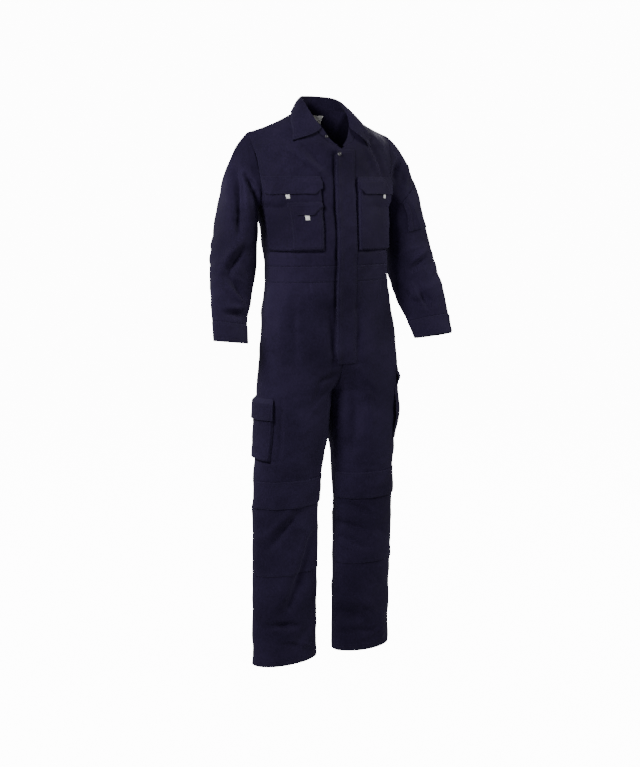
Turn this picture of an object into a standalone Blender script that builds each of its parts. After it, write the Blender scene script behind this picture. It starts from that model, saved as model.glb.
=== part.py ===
"""Boiler suit, hollow and standing open as if worn, in the wearer's frame.

-Y is the wearer's front, +X the wearer's left, +Z up. The origin is the middle of the neck, level
with the point where shoulder seam and collar meet, where the wearer's shoulders hold the garment up.
Every sheet is a wall between two offsets of a surface P(u, v), so pieces that share a seam share
their edge, and what is sewn on a panel is the panel's own surface, moved out.
"""
import bpy
import numpy as np

# Cloth
WALL = 0.0016
SEAM = 0.0003
SEAM_SLACK = 0.0001
SEWN_ON = 0.0003
BAND_RISE = 0.0004
STEP = 1e-4

# Heights of the main seams, measured from the neck point
V_NECK = -0.104
ARMPIT = -0.262
BAND_TOP = -0.419
BAND_FOOT = -0.462
CROTCH = -0.772
HEM = -1.553

# Neck and shoulder: half the neck, its depth behind, the shoulder tip, how far the shoulder seam
# dips, the height where the back's top part starts and how far across the back the neck reaches
NECK_HALF = 0.077
NECK_BACK = 0.062
SHOULDER_HALF = 0.222
SHOULDER_Y = 0.010
SHOULDER_Z = -0.062
SHOULDER_DIP = 0.006
BACK_TOP = -0.100
NECK_SHARE = 0.40

# Bodice below the armpit: half width, and the depth of centre front, side seam and centre back
BODICE = np.array([
    # z,     half,  front,  side,   back
    (-0.262, 0.197, -0.120, -0.005, 0.098),
    (-0.340, 0.188, -0.129, -0.014, 0.088),
    (-0.419, 0.186, -0.128, -0.026, 0.070),
    (-0.462, 0.189, -0.125, -0.032, 0.064),
])

# Centre front and centre back above the armpit
CENTRE = np.array([
    # z,     front,  back
    (0.014, -0.095, 0.062),
    (-0.104, -0.111, 0.0902),
    (-0.170, -0.114, 0.100),
    (-0.262, -0.120, 0.098),
])

# Armhole seam, from the shoulder tip down to the armpit
ARMHOLE = np.array([
    # z,     x,     front,  back
    (-0.062, 0.222, 0.010, 0.010),
    (-0.100, 0.218, -0.013, 0.032),
    (-0.150, 0.211, -0.029, 0.044),
    (-0.205, 0.204, -0.036, 0.040),
    (-0.242, 0.199, -0.027, 0.020),
    (-0.262, 0.197, -0.005, -0.005),
])

# Neckline of the left front, from the bottom of the neck opening up to the neck point
NECKLINE = np.array([
    # x,     y,      z
    (0.000, -0.111, -0.104),
    (0.035, -0.103, -0.088),
    (0.061, -0.087, -0.058),
    (0.075, -0.045, -0.022),
    (0.077, 0.000, 0.000),
])

# Trousers: each leg is an ellipse round (middle, centre), cut off at the centre plane above the
# crotch. Outer is the far side's x, and front and back are the ellipse's two depths.
TROUSERS = np.array([
    # z,     middle, outer,  centre, front, back
    (-0.462, 0.0000, 0.1890, -0.032, 0.0930, 0.0960),
    (-0.550, 0.0000, 0.2040, -0.037, 0.0830, 0.1020),
    (-0.610, 0.0040, 0.2120, -0.039, 0.0780, 0.1030),
    (-0.660, 0.0290, 0.2160, -0.039, 0.0755, 0.1010),
    (-0.700, 0.0620, 0.2200, -0.037, 0.0745, 0.0970),
    (-0.730, 0.0870, 0.2225, -0.036, 0.0745, 0.0940),
    (-0.752, 0.1010, 0.2230, -0.035, 0.0745, 0.0920),
    (-0.765, 0.1080, 0.2225, -0.034, 0.0745, 0.0900),
    (-0.772, 0.1113, 0.2220, -0.033, 0.0750, 0.0890),
    (-0.800, 0.1118, 0.2220, -0.031, 0.0765, 0.0860),
    (-0.860, 0.1132, 0.2210, -0.028, 0.0790, 0.0830),
    (-0.910, 0.1155, 0.2205, -0.025, 0.0775, 0.0800),
    (-0.950, 0.1190, 0.2200, -0.022, 0.0750, 0.0770),
    (-1.110, 0.1275, 0.2205, -0.016, 0.0690, 0.0690),
    (-1.297, 0.1275, 0.2215, -0.013, 0.0620, 0.0620),
    (-1.420, 0.1275, 0.2220, -0.010, 0.0580, 0.0580),
    (-1.553, 0.1275, 0.2220, -0.008, 0.0570, 0.0560),
])
# The near-flat legs stand turned a little differently: the right one broad, the left one round
LEG_SPREAD = {-1: 1.065, 1: 0.98}
# The hips stand a little towards the wearer's left
HIP_SHIFT = 0.007

# Sleeves from the upper arm to the cuff's lower edge, for the left arm: middle, half breadth
# across, half depth, and how far the section has turned about the arm
SLEEVE = np.array([
    # x,     y,      z,      breadth, depth, turn in degrees
    (0.266, -0.008, -0.300, 0.0620, 0.0600, 0),
    (0.278, -0.016, -0.365, 0.0680, 0.0570, 6),
    (0.288, -0.027, -0.430, 0.0730, 0.0490, 15),
    (0.306, -0.048, -0.505, 0.0710, 0.0370, 22),
    (0.318, -0.067, -0.560, 0.0635, 0.0310, 24),
    (0.325, -0.089, -0.613, 0.0575, 0.0310, 22),
])
# The left sleeve hangs a little lower. Each cuff stands squarer to the arm than a straight cut would:
# it drops on its outer side (tilt) and at its front (dip), as shares of its half breadth and depth
ARM_DROP = {-1: 0.0, 1: 0.018}
CUFF_TILT = {-1: 0.10, 1: 0.13}
CUFF_DIP = {-1: 0.30, 1: 0.12}
ARM_BREADTH = {-1: 0.95, 1: 1.0}
CUFF_HEIGHT = 0.056
UNDERARM_GAP = 0.05

# Collar: the fold line from centre back (share 0) past the neck point (0.5) to the front end (1), and
# how much further out it stands on each side at the front, as the right side falls open
FOLD_LINE = np.array([
    # share, x,      y,      z
    (0.000, 0.0000, 0.0520, 0.0430),
    (0.250, 0.0400, 0.0370, 0.0400),
    (0.500, 0.0570, 0.0000, 0.0280),
    (0.625, 0.0560, -0.0360, 0.0020),
    (0.750, 0.0480, -0.0690, -0.0320),
    (0.850, 0.0370, -0.0870, -0.0530),
    (0.920, 0.0240, -0.0990, -0.0780),
    (1.000, 0.0060, -0.1090, -0.0970),
])
FOLD_OUT = {-1: 0.0070, 1: 0.0}
COLLAR_END = 0.06
LEAF_END = 0.82
# The leaf's edge: how high up the back it lies, where it crosses the shoulder seam as seen from the
# back and the front, and its points, as positions on the bodice's upper front
LEAF_DROP = 0.86
LEAF_SHOULDER_BACK = {-1: 0.290, 1: 0.262}
LEAF_SHOULDER = {-1: 0.060, 1: 0.025}
LEAF_POINT = {-1: (0.350, 0.24), 1: (0.260, 0.06)}
LEAF_CLEAR = 0.0052
LEAF_BOW = (0.0035, 0.0080)
# Near its front ends the leaf rolls forward and down over the stand
LEAF_ROLL = np.array((0.0, -0.0090, -0.0110))
NECK_BASE = np.array((0.0, 0.0, -0.13))

# How far the sleeve head stands out past the shoulder tip: the left one is fuller
HEAD = {-1: 0.85, 1: 1.15}
ARM_CENTRE = np.array((0.003, -0.160))

# Folds, each along a line from one end to the other, seen from the front (-1) or the back (1), with
# the width across it and its height. A trough's height is negative.
FOLDS = np.array([
    # x0,    z0,     x1,     z1,     face, width, height
    # right chest and left chest
    (-0.152, -0.079, -0.068, -0.163, -1, 0.018, 0.0040),
    (-0.163, -0.106, -0.122, -0.166, -1, 0.016, -0.0030),
    (-0.086, -0.087, -0.067, -0.137, -1, 0.015, -0.0025),
    (0.075, -0.070, 0.150, -0.160, -1, 0.016, 0.0040),
    (0.110, -0.070, 0.180, -0.148, -1, 0.016, -0.0030),
    # right sleeve
    (-0.265, -0.137, -0.285, -0.214, -1, 0.018, -0.0050),
    (-0.285, -0.214, -0.280, -0.292, -1, 0.018, -0.0050),
    (-0.280, -0.292, -0.241, -0.355, -1, 0.018, -0.0050),
    (-0.252, -0.198, -0.262, -0.270, -1, 0.016, 0.0040),
    (-0.290, -0.354, -0.338, -0.418, -1, 0.018, 0.0040),
    (-0.300, -0.390, -0.344, -0.434, -1, 0.016, -0.0040),
    (-0.344, -0.434, -0.311, -0.492, -1, 0.016, -0.0040),
    (-0.341, -0.442, -0.299, -0.521, -1, 0.016, 0.0040),
    # left sleeve
    (0.215, -0.170, 0.256, -0.124, -1, 0.016, -0.0040),
    (0.268, -0.510, 0.341, -0.475, -1, 0.016, 0.0050),
    (0.280, -0.535, 0.350, -0.525, -1, 0.014, -0.0040),
    # hips
    (-0.153, -0.474, -0.177, -0.703, -1, 0.018, 0.0050),
    (-0.137, -0.476, -0.164, -0.660, -1, 0.018, -0.0050),
    (-0.030, -0.591, -0.036, -0.685, -1, 0.015, -0.0030),
    (0.045, -0.540, 0.090, -0.590, -1, 0.016, -0.0030),
    (0.155, -0.575, 0.137, -0.644, -1, 0.018, -0.0030),
    # thighs
    (-0.042, -0.760, -0.051, -0.862, -1, 0.018, 0.0040),
    (0.054, -0.821, 0.037, -0.977, -1, 0.020, -0.0050),
    (0.028, -0.779, 0.028, -0.896, -1, 0.016, 0.0040),
    # right shin
    (-0.128, -1.094, -0.171, -1.140, -1, 0.016, 0.0040),
    (-0.146, -1.127, -0.195, -1.185, -1, 0.018, -0.0040),
    (-0.068, -1.176, -0.097, -1.252, -1, 0.016, -0.0040),
    (-0.098, -1.309, -0.154, -1.395, -1, 0.018, -0.0040),
    (-0.197, -1.436, -0.125, -1.435, -1, 0.016, -0.0040),
    (-0.058, -1.434, -0.134, -1.511, -1, 0.018, -0.0040),
    # left shin
    (0.042, -1.105, 0.111, -1.143, -1, 0.016, -0.0040),
    (0.043, -1.201, 0.088, -1.247, -1, 0.018, 0.0040),
    (0.049, -1.291, 0.113, -1.419, -1, 0.018, 0.0040),
    (0.047, -1.478, 0.087, -1.478, -1, 0.016, 0.0040),
    (0.170, -1.462, 0.172, -1.531, -1, 0.014, 0.0040),
    # back
    (-0.150, -0.120, -0.060, -0.230, 1, 0.020, 0.0040),
    (0.150, -0.130, 0.070, -0.240, 1, 0.020, 0.0040),
    (-0.120, -0.330, -0.040, -0.400, 1, 0.018, -0.0040),
    (0.130, -0.320, 0.050, -0.395, 1, 0.018, -0.0040),
    # seat
    (-0.060, -0.640, -0.150, -0.740, 1, 0.022, -0.0050),
    (0.060, -0.640, 0.150, -0.740, 1, 0.022, -0.0050),
    (-0.120, -0.480, -0.130, -0.600, 1, 0.018, 0.0040),
    (0.120, -0.480, 0.135, -0.590, 1, 0.018, 0.0040),
    # backs of the legs
    (-0.130, -0.860, -0.120, -0.980, 1, 0.020, 0.0040),
    (0.130, -0.860, 0.120, -0.980, 1, 0.020, 0.0040),
    (-0.060, -1.090, -0.190, -1.130, 1, 0.018, -0.0050),
    (0.060, -1.100, 0.190, -1.135, 1, 0.018, -0.0050),
    (-0.070, -1.180, -0.180, -1.160, 1, 0.016, 0.0040),
    (0.070, -1.185, 0.185, -1.165, 1, 0.016, 0.0040),
    (-0.080, -1.400, -0.150, -1.450, 1, 0.018, -0.0040),
    (0.090, -1.390, 0.160, -1.450, 1, 0.018, -0.0040),
    # elbows
    (-0.250, -0.330, -0.330, -0.370, 1, 0.016, -0.0050),
    (0.250, -0.330, 0.330, -0.365, 1, 0.016, -0.0050),
    (-0.265, -0.420, -0.340, -0.400, 1, 0.016, 0.0040),
    (0.265, -0.425, 0.340, -0.400, 1, 0.016, 0.0040),
    (-0.280, -0.500, -0.340, -0.530, 1, 0.016, -0.0040),
    (0.280, -0.500, 0.340, -0.530, 1, 0.016, -0.0040),
])

# Pockets, flaps and tabs on the bodice: how far round from centre front (0) to side seam (1) they
# start and end, their top and foot, what they lie over, and how far a bag stands out
CHEST = {
    # name: (start, end, top, foot, over, bellows)
    "chest_bag": (0.200, 0.890, -0.200, -0.378, 0.0003, 0.0065),
    "chest_flap": (0.190, 0.905, -0.180, -0.227, 0.0003, 0.0072),
}
# The left chest pocket starts nearer the placket
CHEST_SHIFT = {-1: 0.012, 1: -0.032}
PEN = {
    "pen_bag": (0.237, 0.540, -0.254, -0.373, 0.0071, 0.0022),
    "pen_flap": (0.225, 0.552, -0.248, -0.284, 0.0071, 0.0031),
}
FLAP_CORNER = 0.017
PEN_CORNER = 0.021
TABS = {
    # name: (side, start, end, top, foot, over)
    "tab_chest_right": (-1, 0.517, 0.565, -0.228, -0.241, 0.0071),
    "tab_pen": (-1, 0.364, 0.411, -0.285, -0.299, 0.0094),
    "tab_chest_left": (1, 0.505, 0.553, -0.228, -0.241, 0.0071),
}

# Front placket, over the front's two edges and the waistband
PLACKET_EDGE = -0.018
PLACKET_FAR = 0.040
PLACKET_TOP = -0.108
PLACKET_FOOT = -0.690
PLACKET_LIFT = 0.0009
PLACKET_WALL = 1.3 * WALL

# Thigh and knee pieces, as turns round the leg from the side seam (0) to the inseam (1)
CARGO = (0.205, -0.240)
CARGO_HEIGHTS = (-0.778, -0.836, -0.792, -0.952)
CARGO_BELLOWS = 0.0090
CARGO_STAND = 0.0098
KNEE_STAND = 0.0023
LEG_LIFT = 0.0005
KNEE = (0.035, 0.965)
KNEE_HEIGHTS = (-1.012, -1.088, -1.079, -1.284)
STRAPS = {
    # name: (start, end, top, foot, how far it stands out)
    "hammer_loop": (0.260, 0.065, -0.722, -0.770, 0.0085),
    "tool_strap": (0.270, 0.050, -0.775, -0.922, 0.0110),
}
STRAP_ENDS = 0.010

# Pen pocket on the left sleeve, and the tab on the left cuff
SLEEVE_POCKET = (-0.3142, 1.8850, 0.57, 1.10)
SLEEVE_PEN = (1.6600, 1.8850, 0.63, 1.10)
CUFF_TAB = (-0.30, 0.42, 1.835, 1.985)
CUFF_LIFT = 0.0012

# Press studs: a cap on the placket, and one on each front end of the collar's stand
STUD_RADIUS = 0.0055
STUD_HEIGHT = 0.0030
STUD_X = -0.0110
STUD_Z = -0.120
SMALL_STUD_RADIUS = 0.0045
SMALL_STUD_HEIGHT = 0.0020
STUD_SHARE = 0.88

# Neck labels, by place on the back's top part: start and end across, foot and top
NECK_LABELS = {
    "neck_label": (-0.10, 0.10, 0.73, 0.86),
    "size_label": (0.0, 0.10, 0.52, 0.72),
}
LABEL_CLOTH = 0.0004
TAPE = 0.0004
# Columns of the back from its centre to each side
BACK_COLUMNS = (0, 0.10, 0.18, 0.262, 0.385, 0.51, 0.63, 0.755, 0.88, 1)
BACK_TOP_ROWS = (0.26, 0.52, 0.72, 0.86, 1)

NAVY = (0.020, 0.016, 0.045)
METAL = (0.35, 0.35, 0.37)
LABEL = (0.75, 0.75, 0.73)


def steps(start, end, count):
    return np.linspace(start, end, count)


# Grids of the panels; what is sewn on a panel keeps to the panel's own columns and rows
FRONT_COLUMNS = steps(0, 1, 10)
FRONT_ROWS = np.concatenate((steps(BAND_TOP, ARMPIT, 6), steps(ARMPIT, V_NECK, 7)[1:]))
LEG_COLUMNS = steps(-1, 1, 21)
LEG_ROWS = np.concatenate((steps(BAND_FOOT, -0.68, 6), steps(-0.68, CROTCH, 6)[1:],
                           (-0.792, -0.836, -0.880, -0.916, -0.952, -1.012, -1.079, -1.130, -1.181,
                            -1.232, -1.284, -1.340, -1.395, -1.450, -1.503, HEM)))
CUFF_START = 2 - CUFF_HEIGHT / (SLEEVE[0, 2] - SLEEVE[-1, 2])
SLEEVE_COLUMNS = steps(-1, 1, 21)[1:] * np.pi
SLEEVE_ROWS = np.concatenate(((0, 0.14, 0.28, 0.42, 0.57, 0.71, 0.86, 1), steps(1.10, CUFF_START, 11)))


def smooth(table, column, at):
    """Value of a table's column at a first-column value, on a curve that never overshoots."""
    order = np.argsort(table[:, 0])
    x = table[order, 0]
    y = table[order, column]
    rise = np.diff(y) / np.diff(x)
    slope = np.empty_like(y)
    slope[0], slope[-1] = rise[0], rise[-1]
    product = rise[:-1] * rise[1:]
    total = np.where(rise[:-1] + rise[1:] == 0, 1, rise[:-1] + rise[1:])
    slope[1:-1] = np.where(product > 0, 2 * product / total, 0)
    at = np.clip(at, x[0], x[-1])
    i = np.clip(np.searchsorted(x, at) - 1, 0, len(x) - 2)
    run = x[i + 1] - x[i]
    t = (at - x[i]) / run
    return (y[i] * (1 + 2 * t) * (1 - t) ** 2 + y[i + 1] * (3 - 2 * t) * t**2
            + run * slope[i] * t * (1 - t) ** 2 + run * slope[i + 1] * (t - 1) * t**2)


def along(table, columns, at):
    """Point of a smooth curve through a table's rows, at 0 for the first and 1 for the last."""
    rows = np.column_stack((np.linspace(0, 1, len(table)), table))
    return np.stack([smooth(rows, c + 1, at) for c in columns], axis=-1)


def ease(at, start, end):
    """0 before start, 1 after end, and a soft step between them."""
    t = np.clip((at - start) / (end - start), 0, 1)
    return t * t * (3 - 2 * t)


def unit(vector):
    return vector / np.maximum(np.linalg.norm(vector, axis=-1, keepdims=True), 1e-9)


def folded(points, middle):
    """Points moved out from the middle by the height of each fold that passes near them."""
    move = np.zeros(points.shape[:-1])
    flat = points[..., (0, 2)]
    for x0, z0, x1, z1, face, width, height in FOLDS:
        start = np.array((x0, z0))
        line = np.array((x1, z1)) - start
        share = np.clip(((flat - start) @ line) / (line @ line), 0, 1)
        away = np.linalg.norm(flat - start - share[..., None] * line, axis=-1)
        fade = 0.45 + 0.55 * np.sin(np.pi * np.clip(share, 0.06, 0.94))
        near = ease(face * (points[..., 1] - middle[..., 1]), -0.005, 0.020)
        move = move + height * fade * near * np.exp(-((away / width) ** 2))
    return points + move[..., None] * unit(points - middle)


def stack(x, y, z):
    return np.stack(np.broadcast_arrays(x, y, z), axis=-1)


# ---- surfaces of the body ----------------------------------------------------------------------

def width_at(z):
    """Half width of the bodice: the side seam below the armpit and the armhole above it."""
    return np.where(z > ARMPIT, smooth(ARMHOLE, 1, z), smooth(BODICE, 1, z))


def bodice(across, z, back=False):
    """Bodice at a height, from -1 at the right side to 1 at the left: a rounded arc."""
    t = np.clip(np.abs(across), 0, 1)
    column = 4 if back else 2
    middle = np.where(z > ARMPIT, smooth(CENTRE, 2 if back else 1, z), smooth(BODICE, column, z))
    edge = np.where(z > ARMPIT, smooth(ARMHOLE, 3 if back else 2, z), smooth(BODICE, 3, z))
    power = 2 + 0.25 * ease(z, BAND_FOOT, ARMPIT)
    ring = 1 - (1 - t**power) ** (1 / power)
    flat = t**2.2
    above = ease(z, ARMPIT - 0.03, ARMPIT + 0.10)
    depth = middle + (edge - middle) * (ring + (flat - ring) * above)
    points = stack(across * width_at(z), depth, z)
    return folded(points, stack(0 * across, smooth(BODICE, 3, z), z))


def angle(u):
    """Even steps round an arc, given as its sine."""
    return np.sin(0.5 * np.pi * u)


def front(side, u, z):
    """Front bodice up to the bottom of the neck opening: u is 0 at the centre, 1 at the side."""
    return bodice(side * angle(u), z)


def front_top(side, u, v):
    """Front above that, between neckline (u = 0) and armhole (u = 1), up to the shoulder seam."""
    z = V_NECK + (SHOULDER_Z - V_NECK) * v
    inner = along(NECKLINE, (0, 1, 2), v)
    outer = stack(smooth(ARMHOLE, 1, z), smooth(ARMHOLE, 2, z), z)
    t = angle(u)
    sag = np.abs(t) ** (2.2 - 0.7 * v)
    points = inner + (outer - inner) * t[..., None]
    sag = sag + (t - sag) * ease(v, 0.2, 1)
    points[..., 1] = inner[..., 1] + (outer[..., 1] - inner[..., 1]) * sag
    points[..., 2] += np.sin(np.pi * t) * v * (0.028 * (1 - v) - SHOULDER_DIP)
    points[..., 0] *= side
    share = ease(v, 0, 0.4)
    centre = smooth(BODICE, 3, z)
    return folded(points, stack(0 * t, centre + (0.02 - centre) * share, points[..., 2] - 0.05 * share))


def back_neck(share):
    """Back neckline from centre back (0) to the neck point (1), a quarter of an oval."""
    turn = 0.5 * np.pi * share
    return stack(NECK_HALF * np.sin(turn), NECK_BACK * np.cos(turn), 0.008 * np.cos(turn))


def back_top(side, u, v):
    """Back above BACK_TOP, up to the back neck and the shoulder seam."""
    t = angle(u)
    low = bodice(t, BACK_TOP + 0 * t, back=True)
    neck = back_neck(np.clip(t / NECK_SHARE, 0, 1))
    share = np.clip((t - NECK_SHARE) / (1 - NECK_SHARE), 0, 1)
    tip = stack(SHOULDER_HALF + 0 * t, SHOULDER_Y + 0 * t, SHOULDER_Z + 0 * t)
    seam = np.array((NECK_HALF, 0, 0)) * (1 - share[..., None]) + tip * share[..., None]
    seam[..., 2] -= SHOULDER_DIP * np.sin(np.pi * share)
    top = np.where((t < NECK_SHARE)[..., None], neck, seam)
    z = BACK_TOP + (SHOULDER_Z - BACK_TOP) * v
    edge = stack(smooth(ARMHOLE, 1, z), smooth(ARMHOLE, 3, z), z)
    v = v[..., None]
    points = low * (1 - v) + top * v
    armhole_low = np.array([smooth(ARMHOLE, 1, BACK_TOP), smooth(ARMHOLE, 3, BACK_TOP), BACK_TOP])
    straight = armhole_low * (1 - v) + tip * v
    points = points + (edge - straight) * (t[..., None] ** 3)
    points[..., 1] += 0.016 * np.sin(np.pi * v[..., 0]) * (1 - t**3)
    points[..., 0] *= side
    return points


def hip_shift(z):
    """Sideways shift of the trousers: none at the waist, full at the hips, almost gone at the knee."""
    return HIP_SHIFT * ease(-z, 0.462, 0.70) * (1 - 0.85 * ease(-z, 0.85, 1.11))


def leg(side, turn, z):
    """Trouser leg: turn runs from 0 at the side seam through the front (or, below 0, the back) to
    1 (or -1) at the inseam or, above the crotch, at the centre seam."""
    middle = smooth(TROUSERS, 1, z)
    outer = smooth(TROUSERS, 2, z)
    centre = smooth(TROUSERS, 3, z)
    breadth = outer - middle
    below = ease(-z, 0.80, 1.05)
    spread = 1 + (LEG_SPREAD[side] - 1) * below
    depth = np.where(turn > 0, smooth(TROUSERS, 4, z), smooth(TROUSERS, 5, z)) / spread
    reach = 0.5 * np.pi + np.arcsin(np.clip(middle / breadth, 0, 1))
    swing = reach * np.abs(turn)
    x = middle + breadth * spread * np.cos(swing)
    y = centre - np.sign(turn) * depth * np.sin(swing)
    x = np.where(below > 0, x, np.maximum(x, 0))
    points = folded(stack(side * x, y, z), stack(side * middle, centre, z))
    points[..., 0] += hip_shift(z)
    return points


# ---- sleeves -----------------------------------------------------------------------------------

def armhole(side, turn):
    """Armhole at an angle round the arm: 0 at the shoulder tip, +-pi at the armpit, front first."""
    share = np.abs(turn) / np.pi
    z = SHOULDER_Z + (ARMPIT - SHOULDER_Z) * (0.5 - 0.5 * np.cos(np.pi * share ** 0.9))
    y = np.where(turn > 0, smooth(ARMHOLE, 2, z), smooth(ARMHOLE, 3, z))
    return stack(side * smooth(ARMHOLE, 1, z), y, z)


def armhole_out(side, points):
    """Direction out of the cloth along the armhole seam, halfway between bodice and sleeve."""
    from_centre = unit(points[..., 1:] - ARM_CENTRE)
    return unit(np.concatenate((side * 0.45 * (1 + from_centre[..., 1:]), from_centre), axis=-1))


def shoulder_out(side):
    """Direction out of the cloth along the shoulder seam."""
    return unit(np.array((side * 0.38, 0.0, 0.92)))


def arm_section(side, turn, v):
    """Section of the sleeve from the upper arm (v = 0) to the cuff's foot (v = 1)."""
    middle = along(SLEEVE, (0, 1, 2), v)
    after = along(SLEEVE, (0, 1, 2), np.clip(v + 0.01, 0, 1))
    ahead = unit(after - along(SLEEVE, (0, 1, 2), np.clip(v - 0.01, 0, 1)))
    size = along(SLEEVE, (3, 4, 5), v) * np.array((ARM_BREADTH[side], 1, 1))
    twist = np.radians(size[..., 2])
    across = stack(np.cos(twist), -np.sin(twist), 0 * twist)
    across = unit(across - (across * ahead).sum(-1, keepdims=True) * ahead)
    forward = unit(np.cross(ahead, across))
    forward = forward * -np.sign(forward[..., 1:2])
    points = (middle + size[..., 0:1] * np.cos(turn)[..., None] * across
              + size[..., 1:2] * np.sin(turn)[..., None] * forward)
    lean = CUFF_TILT[side] * size[..., 0] * np.cos(turn) + CUFF_DIP[side] * size[..., 1] * np.sin(turn)
    points[..., 2] -= ARM_DROP[side] * v + ease(v, 0.5, 1) * lean
    mirror = np.array((side, 1, 1))
    return points * mirror, middle * mirror


def sleeve(side, turn, v):
    """Sleeve from the armhole (v = 0) through the upper arm (v = 1) to the cuff's foot (v = 2)."""
    low = np.clip(v, 0, 1)
    lower, lower_middle = arm_section(side, turn, np.clip(v - 1, 0, 1))
    start = armhole(side, turn)
    ring, middle = arm_section(side, turn, 0 * v)
    after, _ = arm_section(side, turn, 0 * v + 0.05)
    length = np.linalg.norm(ring - start, axis=-1, keepdims=True)
    cap = (0.5 + 0.5 * np.cos(turn))[..., None]
    over = np.array((side * HEAD[side], 0, -0.80))
    under = np.array((side * 0.35, 0, -0.85))
    leave = length * (cap * over + (1 - cap) * under)
    arrive = length * 1.1 * unit(after - ring)
    t = low[..., None]
    upper = (start * (1 + 2 * t) * (1 - t) ** 2 + ring * (3 - 2 * t) * t**2
             + leave * t * (1 - t) ** 2 + arrive * (t - 1) * t**2)
    points = np.where((v < 1)[..., None], upper, lower)
    shoulder = np.array((side * 0.200, 0.010, -0.150))
    centre = np.where((v < 1)[..., None], shoulder * (1 - t) + middle * t, lower_middle)
    return folded(points, centre)


# ---- collar ------------------------------------------------------------------------------------

def neck_ring(s):
    """Neckline from centre back (0) to the neck point (0.5) and the collar's end (1), left half."""
    back = back_neck(np.clip(2 * s, 0, 1))
    front_part = along(NECKLINE, (0, 1, 2), 1 - (1 - COLLAR_END) * np.clip(2 * s - 1, 0, 1))
    return np.where((s < 0.5)[..., None], back, front_part)


def collar_fold(s):
    """Top of the stand, where the leaf turns over; s runs from -1, right, to 1, left."""
    near = np.abs(s)
    points = np.stack([smooth(FOLD_LINE, column, near) for column in (1, 2, 3)], axis=-1)
    points[..., 0] += np.where(s < 0, FOLD_OUT[-1], FOLD_OUT[1]) * ease(near, 0.35, 0.72)
    points[..., 0] *= np.where(s < 0, -1, 1)
    return points


def stand_surface(s, v):
    """Stand between neckline and fold line; s runs from -1, right, to 1, left."""
    foot = neck_ring(np.abs(s))
    foot[..., 0] *= np.where(s < 0, -1, 1)
    return foot + (collar_fold(s) - foot) * v[..., None]


def leaf_edge(side, near):
    """Lower edge of the leaf, lying on the back and the front of the bodice."""
    share = np.clip(2 * near, 0, 1)
    across = np.where(side < 0, LEAF_SHOULDER_BACK[-1], LEAF_SHOULDER_BACK[1]) * share
    behind = back_top(side, across, LEAF_DROP + (1 - LEAF_DROP) * share**2)
    share = np.clip((near - 0.5) / (LEAF_END - 0.5), 0, 1)
    tip_u = np.where(side < 0, LEAF_POINT[-1][0], LEAF_POINT[1][0])
    tip_v = np.where(side < 0, LEAF_POINT[-1][1], LEAF_POINT[1][1])
    seam_u = np.where(side < 0, LEAF_SHOULDER[-1], LEAF_SHOULDER[1])
    before = front_top(side, seam_u + (tip_u - seam_u) * share, 1 + (tip_v - 1) * share)
    edge = np.where((near < 0.5)[..., None], behind, before)
    return edge + LEAF_CLEAR * unit(edge - NECK_BASE)


def leaf_surface(s, v):
    """Leaf from the fold line down and out to its edge, with a point at each front end."""
    side = np.where(s < 0, -1, 1)
    near = np.abs(s) * LEAF_END
    top = collar_fold(s * LEAF_END)
    edge = leaf_edge(side, near)
    middle = 0.5 * (top + edge)
    out = unit(middle * np.array((1, 1, 0)) + np.array((0, 0, 0.035)))
    bow = LEAF_BOW[0] + (LEAF_BOW[1] - LEAF_BOW[0]) * ease(near, 0.5, LEAF_END)
    arch = np.sin(np.pi * np.clip(v, 0, 1) ** 0.75)
    roll = ease(near, 0.55, LEAF_END) * np.sin(np.pi * np.clip(v, 0, 1) ** 0.55)
    v = v[..., None]
    return top * (1 - v) + edge * v + (bow * arch)[..., None] * out + roll[..., None] * LEAF_ROLL


# ---- walls -------------------------------------------------------------------------------------

def material(name, colour, roughness, metallic=0.0):
    made = bpy.data.materials.get(name)
    if made is None:
        made = bpy.data.materials.new(name)
        made.use_nodes = True
        shader = made.node_tree.nodes["Principled BSDF"]
        shader.inputs["Base Color"].default_value = (*colour, 1.0)
        shader.inputs["Roughness"].default_value = roughness
        shader.inputs["Metallic"].default_value = metallic
        made.diffuse_color = (*colour, 1.0)
    return made


def add(name, points, faces, finish):
    mesh = bpy.data.meshes.new(name)
    mesh.from_pydata([tuple(p) for p in points], [], [tuple(f) for f in faces])
    mesh.materials.append(finish)
    mesh.update()
    mesh.shade_smooth()
    thing = bpy.data.objects.new(name, mesh)
    bpy.context.scene.collection.objects.link(thing)
    return thing


def normals(surface, u, v):
    """Unit normals of a surface from its two small steps."""
    across = unit(surface(u + STEP, v) - surface(u - STEP, v))
    down = unit(surface(u, v + STEP) - surface(u, v - STEP))
    return unit(np.cross(across, down))


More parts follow.
